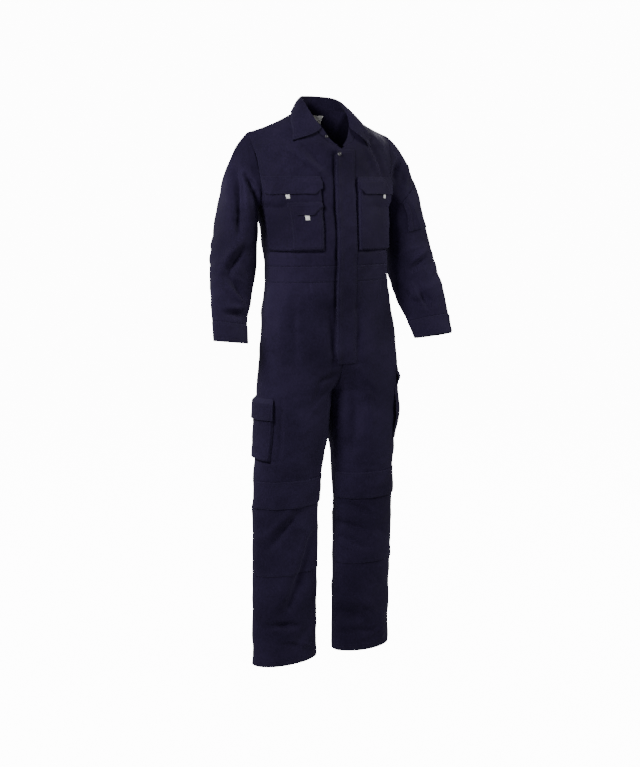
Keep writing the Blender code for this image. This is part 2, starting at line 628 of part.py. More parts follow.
def wall(name, surface, u, v, low, high, finish, outside, closed=False, trims=(1, 1, 1, 1),
         seam_out=None):
    """Closed wall between two offsets of a surface on a grid of u by v.

    low and high are distances out from the surface, as numbers or grids, outside is a point that
    the outer face looks towards at the grid's middle, and each end that has a trim of 1 stops half
    a seam short. seam_out changes the directions along the edges that meet a piece at an angle."""
    grid_u, grid_v = np.meshgrid(u, v, indexing="ij")
    points = surface(grid_u, grid_v)
    out = normals(surface, grid_u, grid_v)
    m, n = (len(u) - 1) // 2, (len(v) - 1) // 2
    if (out[m, n] * outside(points[m, n])).sum() < 0:
        out = -out
    if seam_out is not None:
        out = seam_out(points, out)
    half = 0.5 * SEAM + SEAM_SLACK
    inset = points.copy()
    if not closed:
        inset[0] += trims[0] * half * unit(points[1] - points[0])
        inset[-1] += trims[1] * half * unit(points[-2] - points[-1])
    inset[:, 0] += trims[2] * half * unit(points[:, 1] - points[:, 0])
    inset[:, -1] += trims[3] * half * unit(points[:, -2] - points[:, -1])
    outer = inset + out * np.asarray(high)[..., None]
    inner = inset + out * np.asarray(low)[..., None]
    rows, columns = len(u), len(v)
    count = rows * columns
    number = np.arange(count).reshape(rows, columns)
    if closed:
        number = np.vstack((number, number[:1]))
    a, b = number[:-1, :-1].ravel(), number[1:, :-1].ravel()
    c, d = number[1:, 1:].ravel(), number[:-1, 1:].ravel()
    flat = outer.reshape(-1, 3)
    short = np.linalg.norm(flat[a] - flat[c], axis=1) <= np.linalg.norm(flat[b] - flat[d], axis=1)
    sheet = np.vstack((np.column_stack((a, b, c))[short], np.column_stack((a, c, d))[short],
                       np.column_stack((a, b, d))[~short], np.column_stack((b, c, d))[~short]))
    faces = [sheet, sheet[:, ::-1] + count]
    edges = [(number[:-1, 0], number[1:, 0]), (number[1:, -1], number[:-1, -1])]
    if not closed:
        edges += [(number[0, 1:], number[0, :-1]), (number[-1, :-1], number[-1, 1:])]
    for first, second in edges:
        faces.append(np.column_stack((first, first + count, second + count)))
        faces.append(np.column_stack((first, second + count, second)))
    faces = np.vstack(faces)
    corners = np.vstack((outer.reshape(-1, 3), inner.reshape(-1, 3)))
    side_u = points[m + 1, n] - points[m, n]
    side_v = points[m, n + 1] - points[m, n]
    if (np.cross(side_u, side_v) * out[m, n]).sum() < 0:
        faces = faces[:, ::-1]
    return add(name, corners, faces, finish)


def from_body(point):
    """Outwards from the body's upright middle."""
    return point * np.array((1, 1, 0)) - np.array((0, -0.02, 0))


def from_neck(point):
    return point * np.array((1, 1, 0)) + np.array((0, 0.02, 0))


def from_leg(side):
    return lambda point: point * np.array((1, 1, 0)) - np.array((side * 0.12, -0.015, 0))


# ---- sewn-on pieces ----------------------------------------------------------------------------

def placed(surface, start, end, top, foot, corner=0.0):
    """The stretch of a surface between two sides, top and foot, as s and t from 0 to 1. Corner is
    how far the sides run in over the same height at the foot."""
    height = abs(foot - top)
    reach = end - start

    def patch(s, t):
        inward = np.clip((t * height - (height - corner)) / max(corner, 1e-6), 0, 1) * (corner > 0)
        share = corner / PANEL_BREADTH
        u = start + share * np.sign(reach) * inward + (reach - 2 * share * np.sign(reach) * inward) * s
        return surface(u, top + (foot - top) * t)
    return patch


PANEL_BREADTH = 0.24
RIM = 0.025


def between(start, end, grid):
    """A panel's grid lines between two sides of a piece, as shares from 0 to 1."""
    share = np.sort((grid - start) / (end - start))
    return np.concatenate(([0.0], share[(share > 1.6 * RIM) & (share < 1 - 1.6 * RIM)], [1.0]))


def with_rim(share):
    """The same with one more line close to each end, where a bag's side wall rises."""
    return np.concatenate(([0.0, RIM], share[1:-1], [1 - RIM, 1.0]))


def bag(name, surface, area, grids, over, bellows, finish, outside):
    """Bag sewn down all round whose face stands out from the panel, hollow behind."""
    patch = placed(surface, *area)
    s = with_rim(between(area[0], area[1], grids[0]))
    t = with_rim(between(area[2], area[3], grids[1]))
    inside = np.outer((s > 0) & (s < 1), (t > 0) & (t < 1))
    low = over + SEWN_ON + np.where(inside, max(bellows - WALL, 0), 0.0)
    wall(name, patch, s, t, low, low + WALL, finish, outside, trims=(0, 0, 0, 0))


def flap(name, surface, area, grids, over, stand, finish, outside, hinge=0.34, corner=0.0):
    """Flap sewn down along its top, which runs out over the bag below it."""
    patch = placed(surface, *area, corner)
    s = between(area[0], area[1], grids[0])
    rows = between(area[2], area[3], grids[1])
    turn = 1 - corner / abs(area[3] - area[2])
    rows = rows[(rows > hinge + 2 * RIM) & (np.abs(rows - turn) > 2 * RIM)]
    t = np.unique(np.concatenate((steps(0, hinge, 3), rows, (turn, 1.0))))
    low = over + SEWN_ON + stand * np.outer(np.ones_like(s), ease(t, 0, hinge))
    wall(name, patch, s, t, low, low + WALL, finish, outside, trims=(0, 0, 0, 0))


def patch_piece(name, surface, area, grids, low, thick, finish, outside):
    """Flat piece sewn on a panel."""
    wall(name, placed(surface, *area), between(area[0], area[1], grids[0]),
         between(area[2], area[3], grids[1]), low, low + thick, finish, outside,
         trims=(0, 0, 0, 0))


def strip_arch(name, patch, counts, stand, ends, finish, outside):
    """Strap sewn down at top and foot that stands out between them."""
    t = np.concatenate(([0.0], steps(ends, 1 - ends, counts[1]), [1.0]))
    rise = np.sin(np.pi * np.clip((t - ends) / (1 - 2 * ends), 0, 1))
    low = SEWN_ON + stand * np.outer(np.ones(counts[0]), rise)
    wall(name, patch, steps(0, 1, counts[0]), t, low, low + WALL, finish, outside, trims=(0, 0, 0, 0))


def chest_pieces(cloth, white):
    grids = (FRONT_COLUMNS, FRONT_ROWS)
    for side, word in {-1: "right", 1: "left"}.items():
        def surface(u, v, side=side):
            return front(side, u, v)
        start, end, top, foot, over, bellows = CHEST["chest_bag"]
        start += CHEST_SHIFT[side]
        bag("chest_bag_" + word, surface, (start, end, top, foot), grids, over, bellows, cloth,
            from_body)
        start, end, top, foot, over, stand = CHEST["chest_flap"]
        start += CHEST_SHIFT[side]
        flap("chest_flap_" + word, surface, (start, end, top, foot), grids, over, stand, cloth,
             from_body, corner=FLAP_CORNER)

    def right(u, v):
        return front(-1, u, v)
    start, end, top, foot, over, bellows = PEN["pen_bag"]
    bag("pen_bag", right, (start, end, top, foot), grids, over, bellows, cloth, from_body)
    start, end, top, foot, over, stand = PEN["pen_flap"]
    flap("pen_flap", right, (start, end, top, foot), grids, over, stand, cloth, from_body,
         hinge=0.26, corner=PEN_CORNER)
    for name, (side, start, end, top, foot, over) in TABS.items():
        def surface(u, v, side=side):
            return front(side, u, v)
        patch_piece(name, surface, (start, end, top, foot), grids, over + SEWN_ON, TAPE, white,
                    from_body)


def front_strip(x, z):
    """Front of the whole suit by x and height, from the neck opening down to the crotch."""
    side = np.where(x < 0, -1, 1)
    u = np.arcsin(np.clip(np.abs(x) / width_at(z), 0, 1)) * 2 / np.pi
    upper = front(side, u, np.maximum(z, BAND_FOOT))
    low = np.minimum(z, BAND_FOOT)
    middle, outer = smooth(TROUSERS, 1, low), smooth(TROUSERS, 2, low)
    share = np.clip((np.abs(x) - middle) / (outer - middle), -1, 1)
    depth = smooth(TROUSERS, 4, low) * np.sqrt(1 - share**2)
    centre = smooth(TROUSERS, 3, low)
    lower = folded(stack(x, centre - depth, low), stack(side * middle, centre, low))
    lower[..., 0] += hip_shift(low)
    return np.where((z > BAND_FOOT)[..., None], upper, lower)


def placket(cloth):
    x = steps(PLACKET_EDGE, PLACKET_FAR, 5)
    z = np.concatenate((steps(PLACKET_TOP, BAND_FOOT, 12), steps(BAND_FOOT, PLACKET_FOOT, 7)[1:]))
    wall("placket", front_strip, x, z, PLACKET_LIFT, PLACKET_LIFT + PLACKET_WALL, cloth, from_body,
         trims=(0, 0, 0, 0))


def thigh_and_knee_pieces(cloth):
    grids = (LEG_COLUMNS, LEG_ROWS)
    top, flap_foot, bag_top, foot = KNEE_HEIGHTS
    for side, word in {-1: "right", 1: "left"}.items():
        def surface(u, v, side=side):
            return leg(side, u, v)
        patch_piece("knee_bag_" + word, surface, (*KNEE, bag_top, foot), grids, LEG_LIFT, WALL,
                    cloth, from_leg(side))
        flap("knee_flap_" + word, surface, (*KNEE, top, flap_foot), grids, LEG_LIFT, KNEE_STAND, cloth,
             from_leg(side), hinge=0.6)

    def right(u, v):
        return leg(-1, u, v)
    flap_top, flap_foot, bag_top, foot = CARGO_HEIGHTS
    bag("cargo_bag", right, (*CARGO, bag_top, foot), grids, LEG_LIFT, CARGO_BELLOWS, cloth,
        from_leg(-1))
    flap("cargo_flap", right, (*CARGO, flap_top, flap_foot), grids, LEG_LIFT, CARGO_STAND, cloth,
         from_leg(-1), hinge=0.22)

    def left(u, v):
        return leg(1, u, v)
    for name, (start, end, top, foot, stand) in STRAPS.items():
        strip_arch(name, placed(left, start, end, top, foot), (7, 7), stand,
                   STRAP_ENDS / abs(foot - top), cloth, from_leg(1))


def sleeve_extras(cloth):
    def surface(u, v):
        return sleeve(1, u, v)
    grids = (SLEEVE_COLUMNS, SLEEVE_ROWS)
    patch_piece("sleeve_pocket", surface, SLEEVE_POCKET, grids, SEWN_ON, WALL, cloth,
                from_sleeve(1))
    patch_piece("sleeve_pen_strip", surface, SLEEVE_PEN, grids, 2 * SEWN_ON + WALL, WALL, cloth,
                from_sleeve(1))


def from_sleeve(side):
    def outside(point):
        share = np.clip((-point[2] - 0.20) / 0.41, 0, 1)
        return point * np.array((1, 1, 0)) - np.array((side * (0.24 + 0.086 * share), -0.09 * share, 0))
    return outside


def cap(name, centre, axis, radius, height, finish):
    """Domed cap of a press stud: rings of a turned profile about an axis."""
    axis = unit(np.asarray(axis, float))
    side = unit(np.cross(axis, (0.0, 0.0, 1.0)))
    up = np.cross(axis, side)
    profile = [(radius, 0.0), (radius, 0.45 * height), (0.82 * radius, 0.85 * height),
               (0.40 * radius, height)]
    turns = np.linspace(0, 2 * np.pi, 13)[:-1]
    ring = np.cos(turns)[:, None] * side + np.sin(turns)[:, None] * up
    points = np.vstack([centre + r * ring + h * axis for r, h in profile])
    count = len(turns)
    faces = [tuple(range(count))[::-1], tuple(range(3 * count, 4 * count))]
    for level in range(3):
        for k in range(count):
            a, b = level * count + k, level * count + (k + 1) % count
            faces.append((a, b, b + count, a + count))
    thing = add(name, points, faces, finish)
    return thing


# ---- pieces ------------------------------------------------------------------------------------

def body_pieces(cloth):
    names = {-1: "right", 1: "left"}
    for side, word in names.items():
        def whole(u, v, side=side):
            below = front(side, u, np.minimum(v, V_NECK))
            above = front_top(side, u, np.clip((v - V_NECK) / (SHOULDER_Z - V_NECK), 0, 1))
            return np.where((v <= V_NECK)[..., None], below, above)
        rows = np.concatenate((FRONT_ROWS, steps(V_NECK, SHOULDER_Z, 6)[1:]))

        def mitre(points, out, side=side):
            out[:, -1] = shoulder_out(side)
            above = points[-1, :, 2] > ARMPIT + 0.004
            out[-1, above] = armhole_out(side, points[-1, above])
            return out
        wall("front_" + word, whole, FRONT_COLUMNS, rows, -WALL, 0, cloth, from_body,
             seam_out=mitre)
        wall("waistband_" + word, lambda u, v, side=side: front(side, u, v), steps(0, 1, 9),
             steps(BAND_FOOT, BAND_TOP, 3), -WALL, BAND_RISE, cloth, from_body)

    def back_whole(u, v):
        side = np.where(u < 0, -1, 1)
        below = bodice(angle(u), np.minimum(v, BACK_TOP), back=True)
        above = back_top(side, np.abs(u), np.clip((v - BACK_TOP) / (SHOULDER_Z - BACK_TOP), 0, 1))
        return np.where((v <= BACK_TOP)[..., None], below, above)
    rows = np.concatenate((steps(BAND_TOP, ARMPIT, 5), steps(ARMPIT, BACK_TOP, 6)[1:],
                           BACK_TOP + (SHOULDER_Z - BACK_TOP) * np.array(BACK_TOP_ROWS)))

    def mitre_back(points, out):
        for row, side in ((0, -1), (-1, 1)):
            seam = side * points[:, -1, 0] >= NECK_HALF - STEP
            out[seam, -1] = shoulder_out(side)
            above = points[row, :, 2] > ARMPIT + 0.004
            out[row, above] = armhole_out(side, points[row, above])
        return out
    columns = np.array(BACK_COLUMNS)
    columns = np.concatenate((-columns[:0:-1], columns))
    wall("back", back_whole, columns, rows, -WALL, 0, cloth, from_body, seam_out=mitre_back)
    wall("waistband_back", lambda u, v: bodice(angle(u), v, back=True), steps(-1, 1, 15),
         steps(BAND_FOOT, BAND_TOP, 3), -WALL, BAND_RISE, cloth, from_body)


def leg_pieces(cloth):
    halves = {"front": LEG_COLUMNS[LEG_COLUMNS > -0.01], "back": -LEG_COLUMNS[LEG_COLUMNS > -0.01]}
    for side, word in {-1: "right", 1: "left"}.items():
        def surface(u, v, side=side):
            return leg(side, u, v)
        for half, columns in halves.items():
            columns = np.where(np.abs(columns) < 0.01, 0.004 * np.sign(columns[-1]), columns)
            wall("leg_" + half + "_" + word, surface, columns, LEG_ROWS, -WALL, 0, cloth,
                 from_leg(side))


def sleeve_pieces(cloth):
    for side, word in {-1: "right", 1: "left"}.items():
        def surface(u, v, side=side):
            return sleeve(side, u, v)

        def from_armhole(u, v, side=side):
            under = ease(np.abs(u), 0.75 * np.pi, np.pi)
            return sleeve(side, u, v + UNDERARM_GAP * under * np.clip(1 - v, 0, 1))

        def mitre(points, out, side=side):
            out[:, 0] = armhole_out(side, points[:, 0])
            return out
        wall("sleeve_" + word, from_armhole, SLEEVE_COLUMNS, SLEEVE_ROWS, -WALL, 0, cloth,
             from_sleeve(side), closed=True, trims=(1, 1, 3, 1), seam_out=mitre)
        wall("cuff_" + word, surface, SLEEVE_COLUMNS, steps(CUFF_START, 2, 4), -WALL, CUFF_LIFT,
             cloth, from_sleeve(side), closed=True)


def collar_pieces(cloth):
    wall("collar_stand", stand_surface, steps(-1, 1, 29), steps(0.06, 0.98, 3), -WALL, 0, cloth,
         from_neck)
    wall("collar_leaf", leaf_surface, steps(-1, 1, 31), steps(0, 1, 6), 0, WALL, cloth, from_neck)


def neck_labels(white):
    """Two bare labels sewn inside the back neck, on the back panel's own grid."""
    def inside(u, v):
        return back_top(np.where(u < 0, -1, 1), np.abs(u), v)
    for name, (start, end, foot, top) in NECK_LABELS.items():
        columns = [sign * u for sign in (-1, 1) for u in BACK_COLUMNS if start <= sign * u <= end]
        wall(name, inside, np.unique(columns), np.array((foot, top)), -WALL - SEWN_ON - LABEL_CLOTH,
             -WALL - SEWN_ON, white, from_body)


def cuff_tab(cloth):
    """Tab that closes the left cuff, on its outer edge."""
    def surface(u, v):
        return sleeve(1, u, v)
    start, end, top, foot = CUFF_TAB
    wall("cuff_tab", placed(surface, start, end, top, foot), steps(0, 1, 6), steps(0, 1, 4),
         CUFF_LIFT + SEWN_ON, CUFF_LIFT + SEWN_ON + WALL, cloth, from_sleeve(1), trims=(0, 0, 0, 0))


def studs(metal):
    at = front_strip(np.array([STUD_X]), np.array([STUD_Z]))[0]
    cap("stud_top", at + np.array((0, -(PLACKET_LIFT + PLACKET_WALL + SEWN_ON), 0)), (0, -1, 0.1),
        STUD_RADIUS, STUD_HEIGHT, metal)
    for name, s, lift in (("stud_collar_right", -STUD_SHARE, SEWN_ON),
                          ("stud_collar_left", STUD_SHARE, -WALL - SEWN_ON)):
        at, height = np.array([[s]]), np.array([[0.5]])
        point = stand_surface(at, height)[0, 0]
        out = normals(stand_surface, at, height)[0, 0]
        out = out if (out * from_neck(point)).sum() > 0 else -out
        cap(name, point + lift * out, np.sign(lift) * out, SMALL_STUD_RADIUS, SMALL_STUD_HEIGHT, metal)


def main():
    for thing in list(bpy.data.objects):
        bpy.data.objects.remove(thing)
    cloth = material("navy_cloth", NAVY, 0.85)
    white = material("label_white", LABEL, 0.7)
    metal = material("stud_metal", METAL, 0.35, 1.0)
    body_pieces(cloth)
    leg_pieces(cloth)
    sleeve_pieces(cloth)
    collar_pieces(cloth)
    chest_pieces(cloth, white)
    placket(cloth)
    thigh_and_knee_pieces(cloth)
    sleeve_extras(cloth)
    neck_labels(white)
    cuff_tab(cloth)
    studs(metal)


main()
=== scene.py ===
# %% [markdown]
# # A navy boiler suit
# A boiler suit is one garment from collar to ankle, cut from flat panels of cotton twill and joined
# with double-stitched seams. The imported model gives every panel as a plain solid. Here each panel is
# made again as fine cloth in the same place, with its folds, seams, stitching and weave.

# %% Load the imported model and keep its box
from functools import partial
import bpy
import numpy as np
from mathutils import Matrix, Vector


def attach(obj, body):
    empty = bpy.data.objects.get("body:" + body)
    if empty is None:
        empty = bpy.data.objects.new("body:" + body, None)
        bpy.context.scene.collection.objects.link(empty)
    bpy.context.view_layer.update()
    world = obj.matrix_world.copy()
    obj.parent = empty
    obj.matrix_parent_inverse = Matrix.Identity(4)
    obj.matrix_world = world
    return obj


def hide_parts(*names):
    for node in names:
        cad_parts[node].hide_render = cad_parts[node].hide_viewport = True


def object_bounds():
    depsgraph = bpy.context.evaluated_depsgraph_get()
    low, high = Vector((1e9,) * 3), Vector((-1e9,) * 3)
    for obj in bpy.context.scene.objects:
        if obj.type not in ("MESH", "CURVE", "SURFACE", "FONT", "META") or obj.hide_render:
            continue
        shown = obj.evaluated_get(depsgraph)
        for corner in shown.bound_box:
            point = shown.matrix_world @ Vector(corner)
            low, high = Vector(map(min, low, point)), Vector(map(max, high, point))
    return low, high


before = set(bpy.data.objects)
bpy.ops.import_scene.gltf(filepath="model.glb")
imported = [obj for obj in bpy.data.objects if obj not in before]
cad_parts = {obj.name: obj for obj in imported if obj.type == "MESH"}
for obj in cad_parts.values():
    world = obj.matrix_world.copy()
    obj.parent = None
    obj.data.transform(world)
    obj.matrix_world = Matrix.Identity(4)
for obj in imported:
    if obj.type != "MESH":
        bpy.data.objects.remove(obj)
cad_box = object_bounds()
print("the packed model has", len(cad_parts), "nodes")

# %% [markdown]
# ## Camera
# The suit is seen from its right front, thirty degrees round, from the height of the chest. The lens
# is worked out from how many pixels the focal length takes in an image of 640 by 767, because that is
# what keeps the proportions right at any render size.

# %% Camera
IMAGE_HEIGHT = 767
FOCAL_PIXELS = 1207.0
SENSOR = 36.0
EYE = Vector((-1.7, -2.9445, -0.237))
AIM = Vector((-0.0025, 0.0014, -0.7595))


def put_in_scene(name, data, place=Vector(), target=None):
    """Object at a place, which looks at a target if it has one."""
    thing = bpy.data.objects.new(name, data)
    thing.location = place
    if target is not None:
        thing.rotation_euler = (target - place).to_track_quat("-Z", "Y").to_euler()
    bpy.context.scene.collection.objects.link(thing)
    return thing


lens = bpy.data.cameras.new("camera")
lens.lens = SENSOR * FOCAL_PIXELS / IMAGE_HEIGHT
bpy.context.scene.camera = put_in_scene("camera", lens, EYE, AIM)
print("lens", round(lens.lens, 2), "mm")

# %% [markdown]
# ## Nodes
# Floor, room, node groups and materials are all trees of nodes. One function sets a node's inputs, or
# links them where it gets another node's output, and every socket knows the tree it belongs to.

# %% Helpers for node trees
def plug(made, values):
    """Sets a node's inputs to numbers, or links them where the value is a socket."""
    for key, value in values.items():
        if isinstance(value, bpy.types.NodeSocket):
            made.id_data.links.new(value, made.inputs[key])
        else:
            made.inputs[key].default_value = value
    return made


def node(beside, kind, values, **settings):
    """New node with its settings and inputs, in a tree or in the tree of a socket."""
    made = beside.id_data.nodes.new("ShaderNode" + kind)
    for key, value in settings.items():
        setattr(made, key, value)
    return plug(made, values)


def maths(how, first, second=0.0):
    """Output of a Math node."""
    return node(first, "Math", {0: first, 1: second}, operation=how).outputs[0]


def plus(first, second):
    return maths("ADD", first, second)


def times(first, second):
    return maths("MULTIPLY", first, second)


def ramp(value, start, end, low=0.0, high=1.0):
    """Soft step of a value from low at start to high at end."""
    return node(value, "MapRange", {0: value, 1: start, 2: end, 3: low, 4: high},
                interpolation_type="SMOOTHSTEP").outputs[0]


def noise(place, scale, detail=2.0, **more):
    """Noise over places, from 0 to 1."""
    return node(place, "TexNoise", {"Vector": place, "Scale": scale, "Detail": detail, **more}).outputs[0]


def shader_of(name):
    """Shader of a new material."""
    made = bpy.data.materials.new(name)
    made.use_nodes = True
    return made, made.node_tree.nodes["Principled BSDF"]


def camera_glow(tree, strength):
    """Strength of a glow that only the camera sees, so that it lights nothing."""
    return times(node(tree, "LightPath", {}).outputs["Is Camera Ray"], strength)


print("node helpers ready")

# %% [markdown]
# ## Floor and light
# Dark cloth needs large soft lights: a small lamp would give it hard, shiny spots. Two boxes stand left
# and right of the suit at shoulder height, so that every upright fold has a light and a dark side and
# the lower legs fall off into shade. A weak light from the front keeps the middle readable, and two
# from behind do the same for the back. Floor and room glow for the camera alone: a backdrop lit for
# real would throw its light on the cloth.

# %% Pale floor
FLOOR_LEVEL = cad_box[0][2] - 0.002
FLOOR_REACH = 14.0
FLOOR_CORNERS = 64
PALE_GLOW = 13.0
WHITE = (1.0, 1.0, 1.0, 1)

disc = np.linspace(0, 2 * np.pi, FLOOR_CORNERS + 1)[:-1]
rim = np.column_stack((FLOOR_REACH * np.cos(disc), FLOOR_REACH * np.sin(disc), 0 * disc + FLOOR_LEVEL))
floor_mesh = bpy.data.meshes.new("floor")
floor_mesh.from_pydata(rim.tolist(), [], [list(range(FLOOR_CORNERS))])
floor = put_in_scene("floor", floor_mesh)

paint, floor_shader = shader_of("studio_floor")
plug(floor_shader, {"Base Color": (0.55, 0.55, 0.55, 1), "Roughness": 0.9, "Specular IOR Level": 0.0,
                    "Emission Color": WHITE, "Emission Strength": camera_glow(paint.node_tree, PALE_GLOW)})
floor_mesh.materials.append(paint)
print("floor at", round(FLOOR_LEVEL, 4))

# %% Soft studio lights and a pale room
LIT_CHEST = Vector((0.0, 0.0, -0.52))
LIT_BACK = Vector((0.0, 0.0, -0.5))
LIGHTS = {
    # name: (place, what it points at, breadth, watts)
    "left_box": (Vector((-2.0, -1.05, 0.75)), LIT_CHEST, 0.7, 74),
    "right_box": (Vector((2.1, -0.95, 0.7)), LIT_CHEST, 0.7, 48),
    "front": (Vector((-0.6, -2.7, 0.2)), LIT_CHEST, 1.4, 9),
    "back_left": (Vector((2.0, 2.2, 0.9)), LIT_BACK, 1.2, 62),
    "back_right": (Vector((-1.9, 2.3, 0.9)), LIT_BACK, 1.2, 62),
}
for name, (place, target, breadth, watts) in LIGHTS.items():
    lamp = bpy.data.lights.new(name, "AREA")
    lamp.shape, lamp.size, lamp.energy = "SQUARE", breadth, watts
    put_in_scene(name, lamp, place, target)

ROOM_LIGHT = 0.06
room = bpy.data.worlds.new("pale_room")
room.use_nodes = True
glow = camera_glow(room.node_tree, PALE_GLOW)
brightness = node(glow, "Math", {0: ROOM_LIGHT, 1: glow}, operation="ADD").outputs[0]
plug(room.node_tree.nodes["Background"], {"Color": WHITE, "Strength": brightness})
bpy.context.scene.world = room
print(len(LIGHTS), "lights")

# %% [markdown]
# ## Curves through measured rows
# Tailors measure a garment at a few heights. A table holds one row for each height, and a curve
# through the rows gives every height between them. The curve is a cubic whose slopes are chosen so
# that it never swings past its rows, because a bulge between two rows would look like a wrong size.
# Lengths in the tables are millimetres, and each table is divided down to metres.

# %% Curves, soft steps and unit vectors
def cubic(t, start, end, leave, arrive):
    """Cubic from start (t = 0) to end (t = 1), with its slopes at both."""
    return (start * (1 + 2 * t) * (1 - t) ** 2 + end * (3 - 2 * t) * t**2
            + leave * t * (1 - t) ** 2 + arrive * (t - 1) * t**2)


def smooth(table, column, at):
    """Cubic through a table's rows, with harmonic-mean slopes: value of a column at a first-column
    value."""
    order = np.argsort(table[:, 0])
    x = table[order, 0]
    y = table[order, column]
    rise = np.diff(y) / np.diff(x)
    slope = np.empty_like(y)
    slope[0], slope[-1] = rise[0], rise[-1]
    product = rise[:-1] * rise[1:]
    total = np.where(rise[:-1] + rise[1:] == 0, 1, rise[:-1] + rise[1:])
    slope[1:-1] = np.where(product > 0, 2 * product / total, 0)
    at = np.clip(at, x[0], x[-1])
    i = np.clip(np.searchsorted(x, at) - 1, 0, len(x) - 2)
    run = x[i + 1] - x[i]
    t = (at - x[i]) / run
    return cubic(t, y[i], y[i + 1], run * slope[i], run * slope[i + 1])


def along(table, columns, at):
    """The same through whole points: a table's first row at 0 and its last at 1."""
    rows = np.column_stack((np.linspace(0, 1, len(table)), table))
    return np.stack([smooth(rows, c + 1, at) for c in columns], axis=-1)


def ease(at, start, end):
    """0 before start, 1 after end, and between them the step 3t^2 - 2t^3."""
    t = np.clip((at - start) / (end - start), 0, 1)
    return t * t * (3 - 2 * t)


def unit(vector):
    """A vector over its own length."""
    return vector / np.maximum(np.linalg.norm(vector, axis=-1, keepdims=True), 1e-9)


def side_of(s, pair=None):
    """-1 for the right side, where s is below 0, and 1 for the left, or what a pair holds for them."""
    return np.where(s < 0, -1, 1) if pair is None else np.where(s < 0, pair[-1], pair[1])


def stack(x, y, z):
    """Points from three arrays of coordinates."""
    return np.stack(np.broadcast_arrays(x, y, z), axis=-1)


print("a soft step half way up is", ease(0.5, 0, 1))

# %% [markdown]
# ## Measurements of the bodice
# The bodice hangs from the shoulders, so its sizes are rows by height. The armhole and the neckline
# are curves of their own, because sleeve and collar are sewn into them and have to share them.

# %% Cloth and the heights of the main seams
WALL = 0.0016
SEWN_ON = 0.0003
V_NECK = -0.104
ARMPIT = -0.262
BAND_TOP = -0.419
BAND_FOOT = -0.462
CROTCH = -0.772
HEM = -1.553
print("the suit is", round(cad_box[1][2] - cad_box[0][2], 3), "m tall")

# %% Bodice, armhole and neckline
NECK_HALF = 0.077
NECK_BACK = 0.062
SHOULDER_HALF = 0.222
SHOULDER_Y = 0.01
SHOULDER_Z = -0.062
SHOULDER_DIP = 0.006
BACK_TOP = -0.1
NECK_SHARE = 0.4

# Bodice below the armpit: half width, and the depth of centre front, side seam and centre back
BODICE = np.array([
    # z, half, front, side, back
    (-262, 197, -120, -5, 98),
    (-340, 188, -129, -14, 88),
    (-419, 186, -128, -26, 70),
    (-462, 189, -125, -32, 64),
]) / 1000

# Centre front and centre back above the armpit
CENTRE = np.array([
    # z, front, back
    (14, -95, 62),
    (-104, -111, 90.2),
    (-170, -114, 100),
    (-262, -120, 98),
]) / 1000

# Armhole seam, from the shoulder tip down to the armpit
ARMHOLE = np.array([
    # z, x, front, back
    (-62, 222, 10, 10),
    (-100, 218, -13, 32),
    (-150, 211, -29, 44),
    (-205, 204, -36, 40),
    (-242, 199, -27, 20),
    (-262, 197, -5, -5),
]) / 1000

# Neckline of the left front, from the bottom of the neck opening up to the neck point
NECKLINE = np.array([
    # x, y, z
    (0, -111, -104),
    (35, -103, -88),
    (61, -87, -58),
    (75, -45, -22),
    (77, 0, 0),
]) / 1000
print("the neck is", 2 * NECK_HALF, "m across")

# %% [markdown]
# ## Measurements of trousers and sleeves
# A leg is an ellipse that is cut off at the centre plane above the crotch, where left and right are
# sewn to each other. A sleeve is an ellipse that turns as the arm bends forward.

# %% Trouser legs
# Trousers: each leg is an ellipse round (middle, centre), cut off at the centre plane above the
# crotch. Outer is the far side's x, and front and back are the ellipse's two depths.
TROUSERS = np.array([
    # z, middle, outer, centre, front, back
    (-462, 0, 189, -32, 93, 96),
    (-550, 0, 204, -37, 83, 102),
    (-610, 4, 212, -39, 78, 103),
    (-660, 29, 216, -39, 75.5, 101),
    (-700, 62, 220, -37, 74.5, 97),
    (-730, 87, 222.5, -36, 74.5, 94),
    (-752, 101, 223, -35, 74.5, 92),
    (-765, 108, 222.5, -34, 74.5, 90),
    (-772, 111.3, 222, -33, 75, 89),
    (-800, 111.8, 222, -31, 76.5, 86),
    (-860, 113.2, 221, -28, 79, 83),
    (-910, 115.5, 220.5, -25, 77.5, 80),
    (-950, 119, 220, -22, 75, 77),
    (-1110, 127.5, 220.5, -16, 69, 69),
    (-1297, 127.5, 221.5, -13, 62, 62),
    (-1420, 127.5, 222, -10, 58, 58),
    (-1553, 127.5, 222, -8, 57, 56),
]) / 1000
# The near-flat legs stand turned a little differently: the right one broad, the left one round
LEG_SPREAD = {-1: 1.065, 1: 0.98}
# The hips stand a little towards the wearer's left
HIP_SHIFT = 0.007
print("the inseam is", round(CROTCH - HEM, 3), "m")

# %% Sleeves
# Sleeves from the upper arm to the cuff's lower edge, for the left arm: middle, half breadth
# across, half depth, and how far the section has turned about the arm
SLEEVE = np.array([
    # x, y, z, breadth, depth, turn in degrees
    (266, -8, -300, 62, 60, 0),
    (278, -16, -365, 68, 57, 6),
    (288, -27, -430, 73, 49, 15),
    (306, -48, -505, 71, 37, 22),
    (318, -67, -560, 63.5, 31, 24),
    (325, -89, -613, 57.5, 31, 22),
]) / (1000, 1000, 1000, 1000, 1000, 1)
# The left sleeve hangs a little lower, and its cuff stands squarer to the arm
ARM_DROP = {-1: 0.0, 1: 0.018}
CUFF_TILT = {-1: 0.1, 1: 0.13}
CUFF_DIP = {-1: 0.3, 1: 0.12}
ARM_BREADTH = {-1: 0.95, 1: 1.0}
CUFF_HEIGHT = 0.056
# How far the sleeve head stands out past the shoulder tip: the left one is fuller
HEAD = {-1: 0.85, 1: 1.15}
ARM_CENTRE = np.array((0.003, -0.16))
CUFF_START = 2 - CUFF_HEIGHT / (SLEEVE[0, 2] - SLEEVE[-1, 2])
print("the cuff is", CUFF_HEIGHT, "m deep")

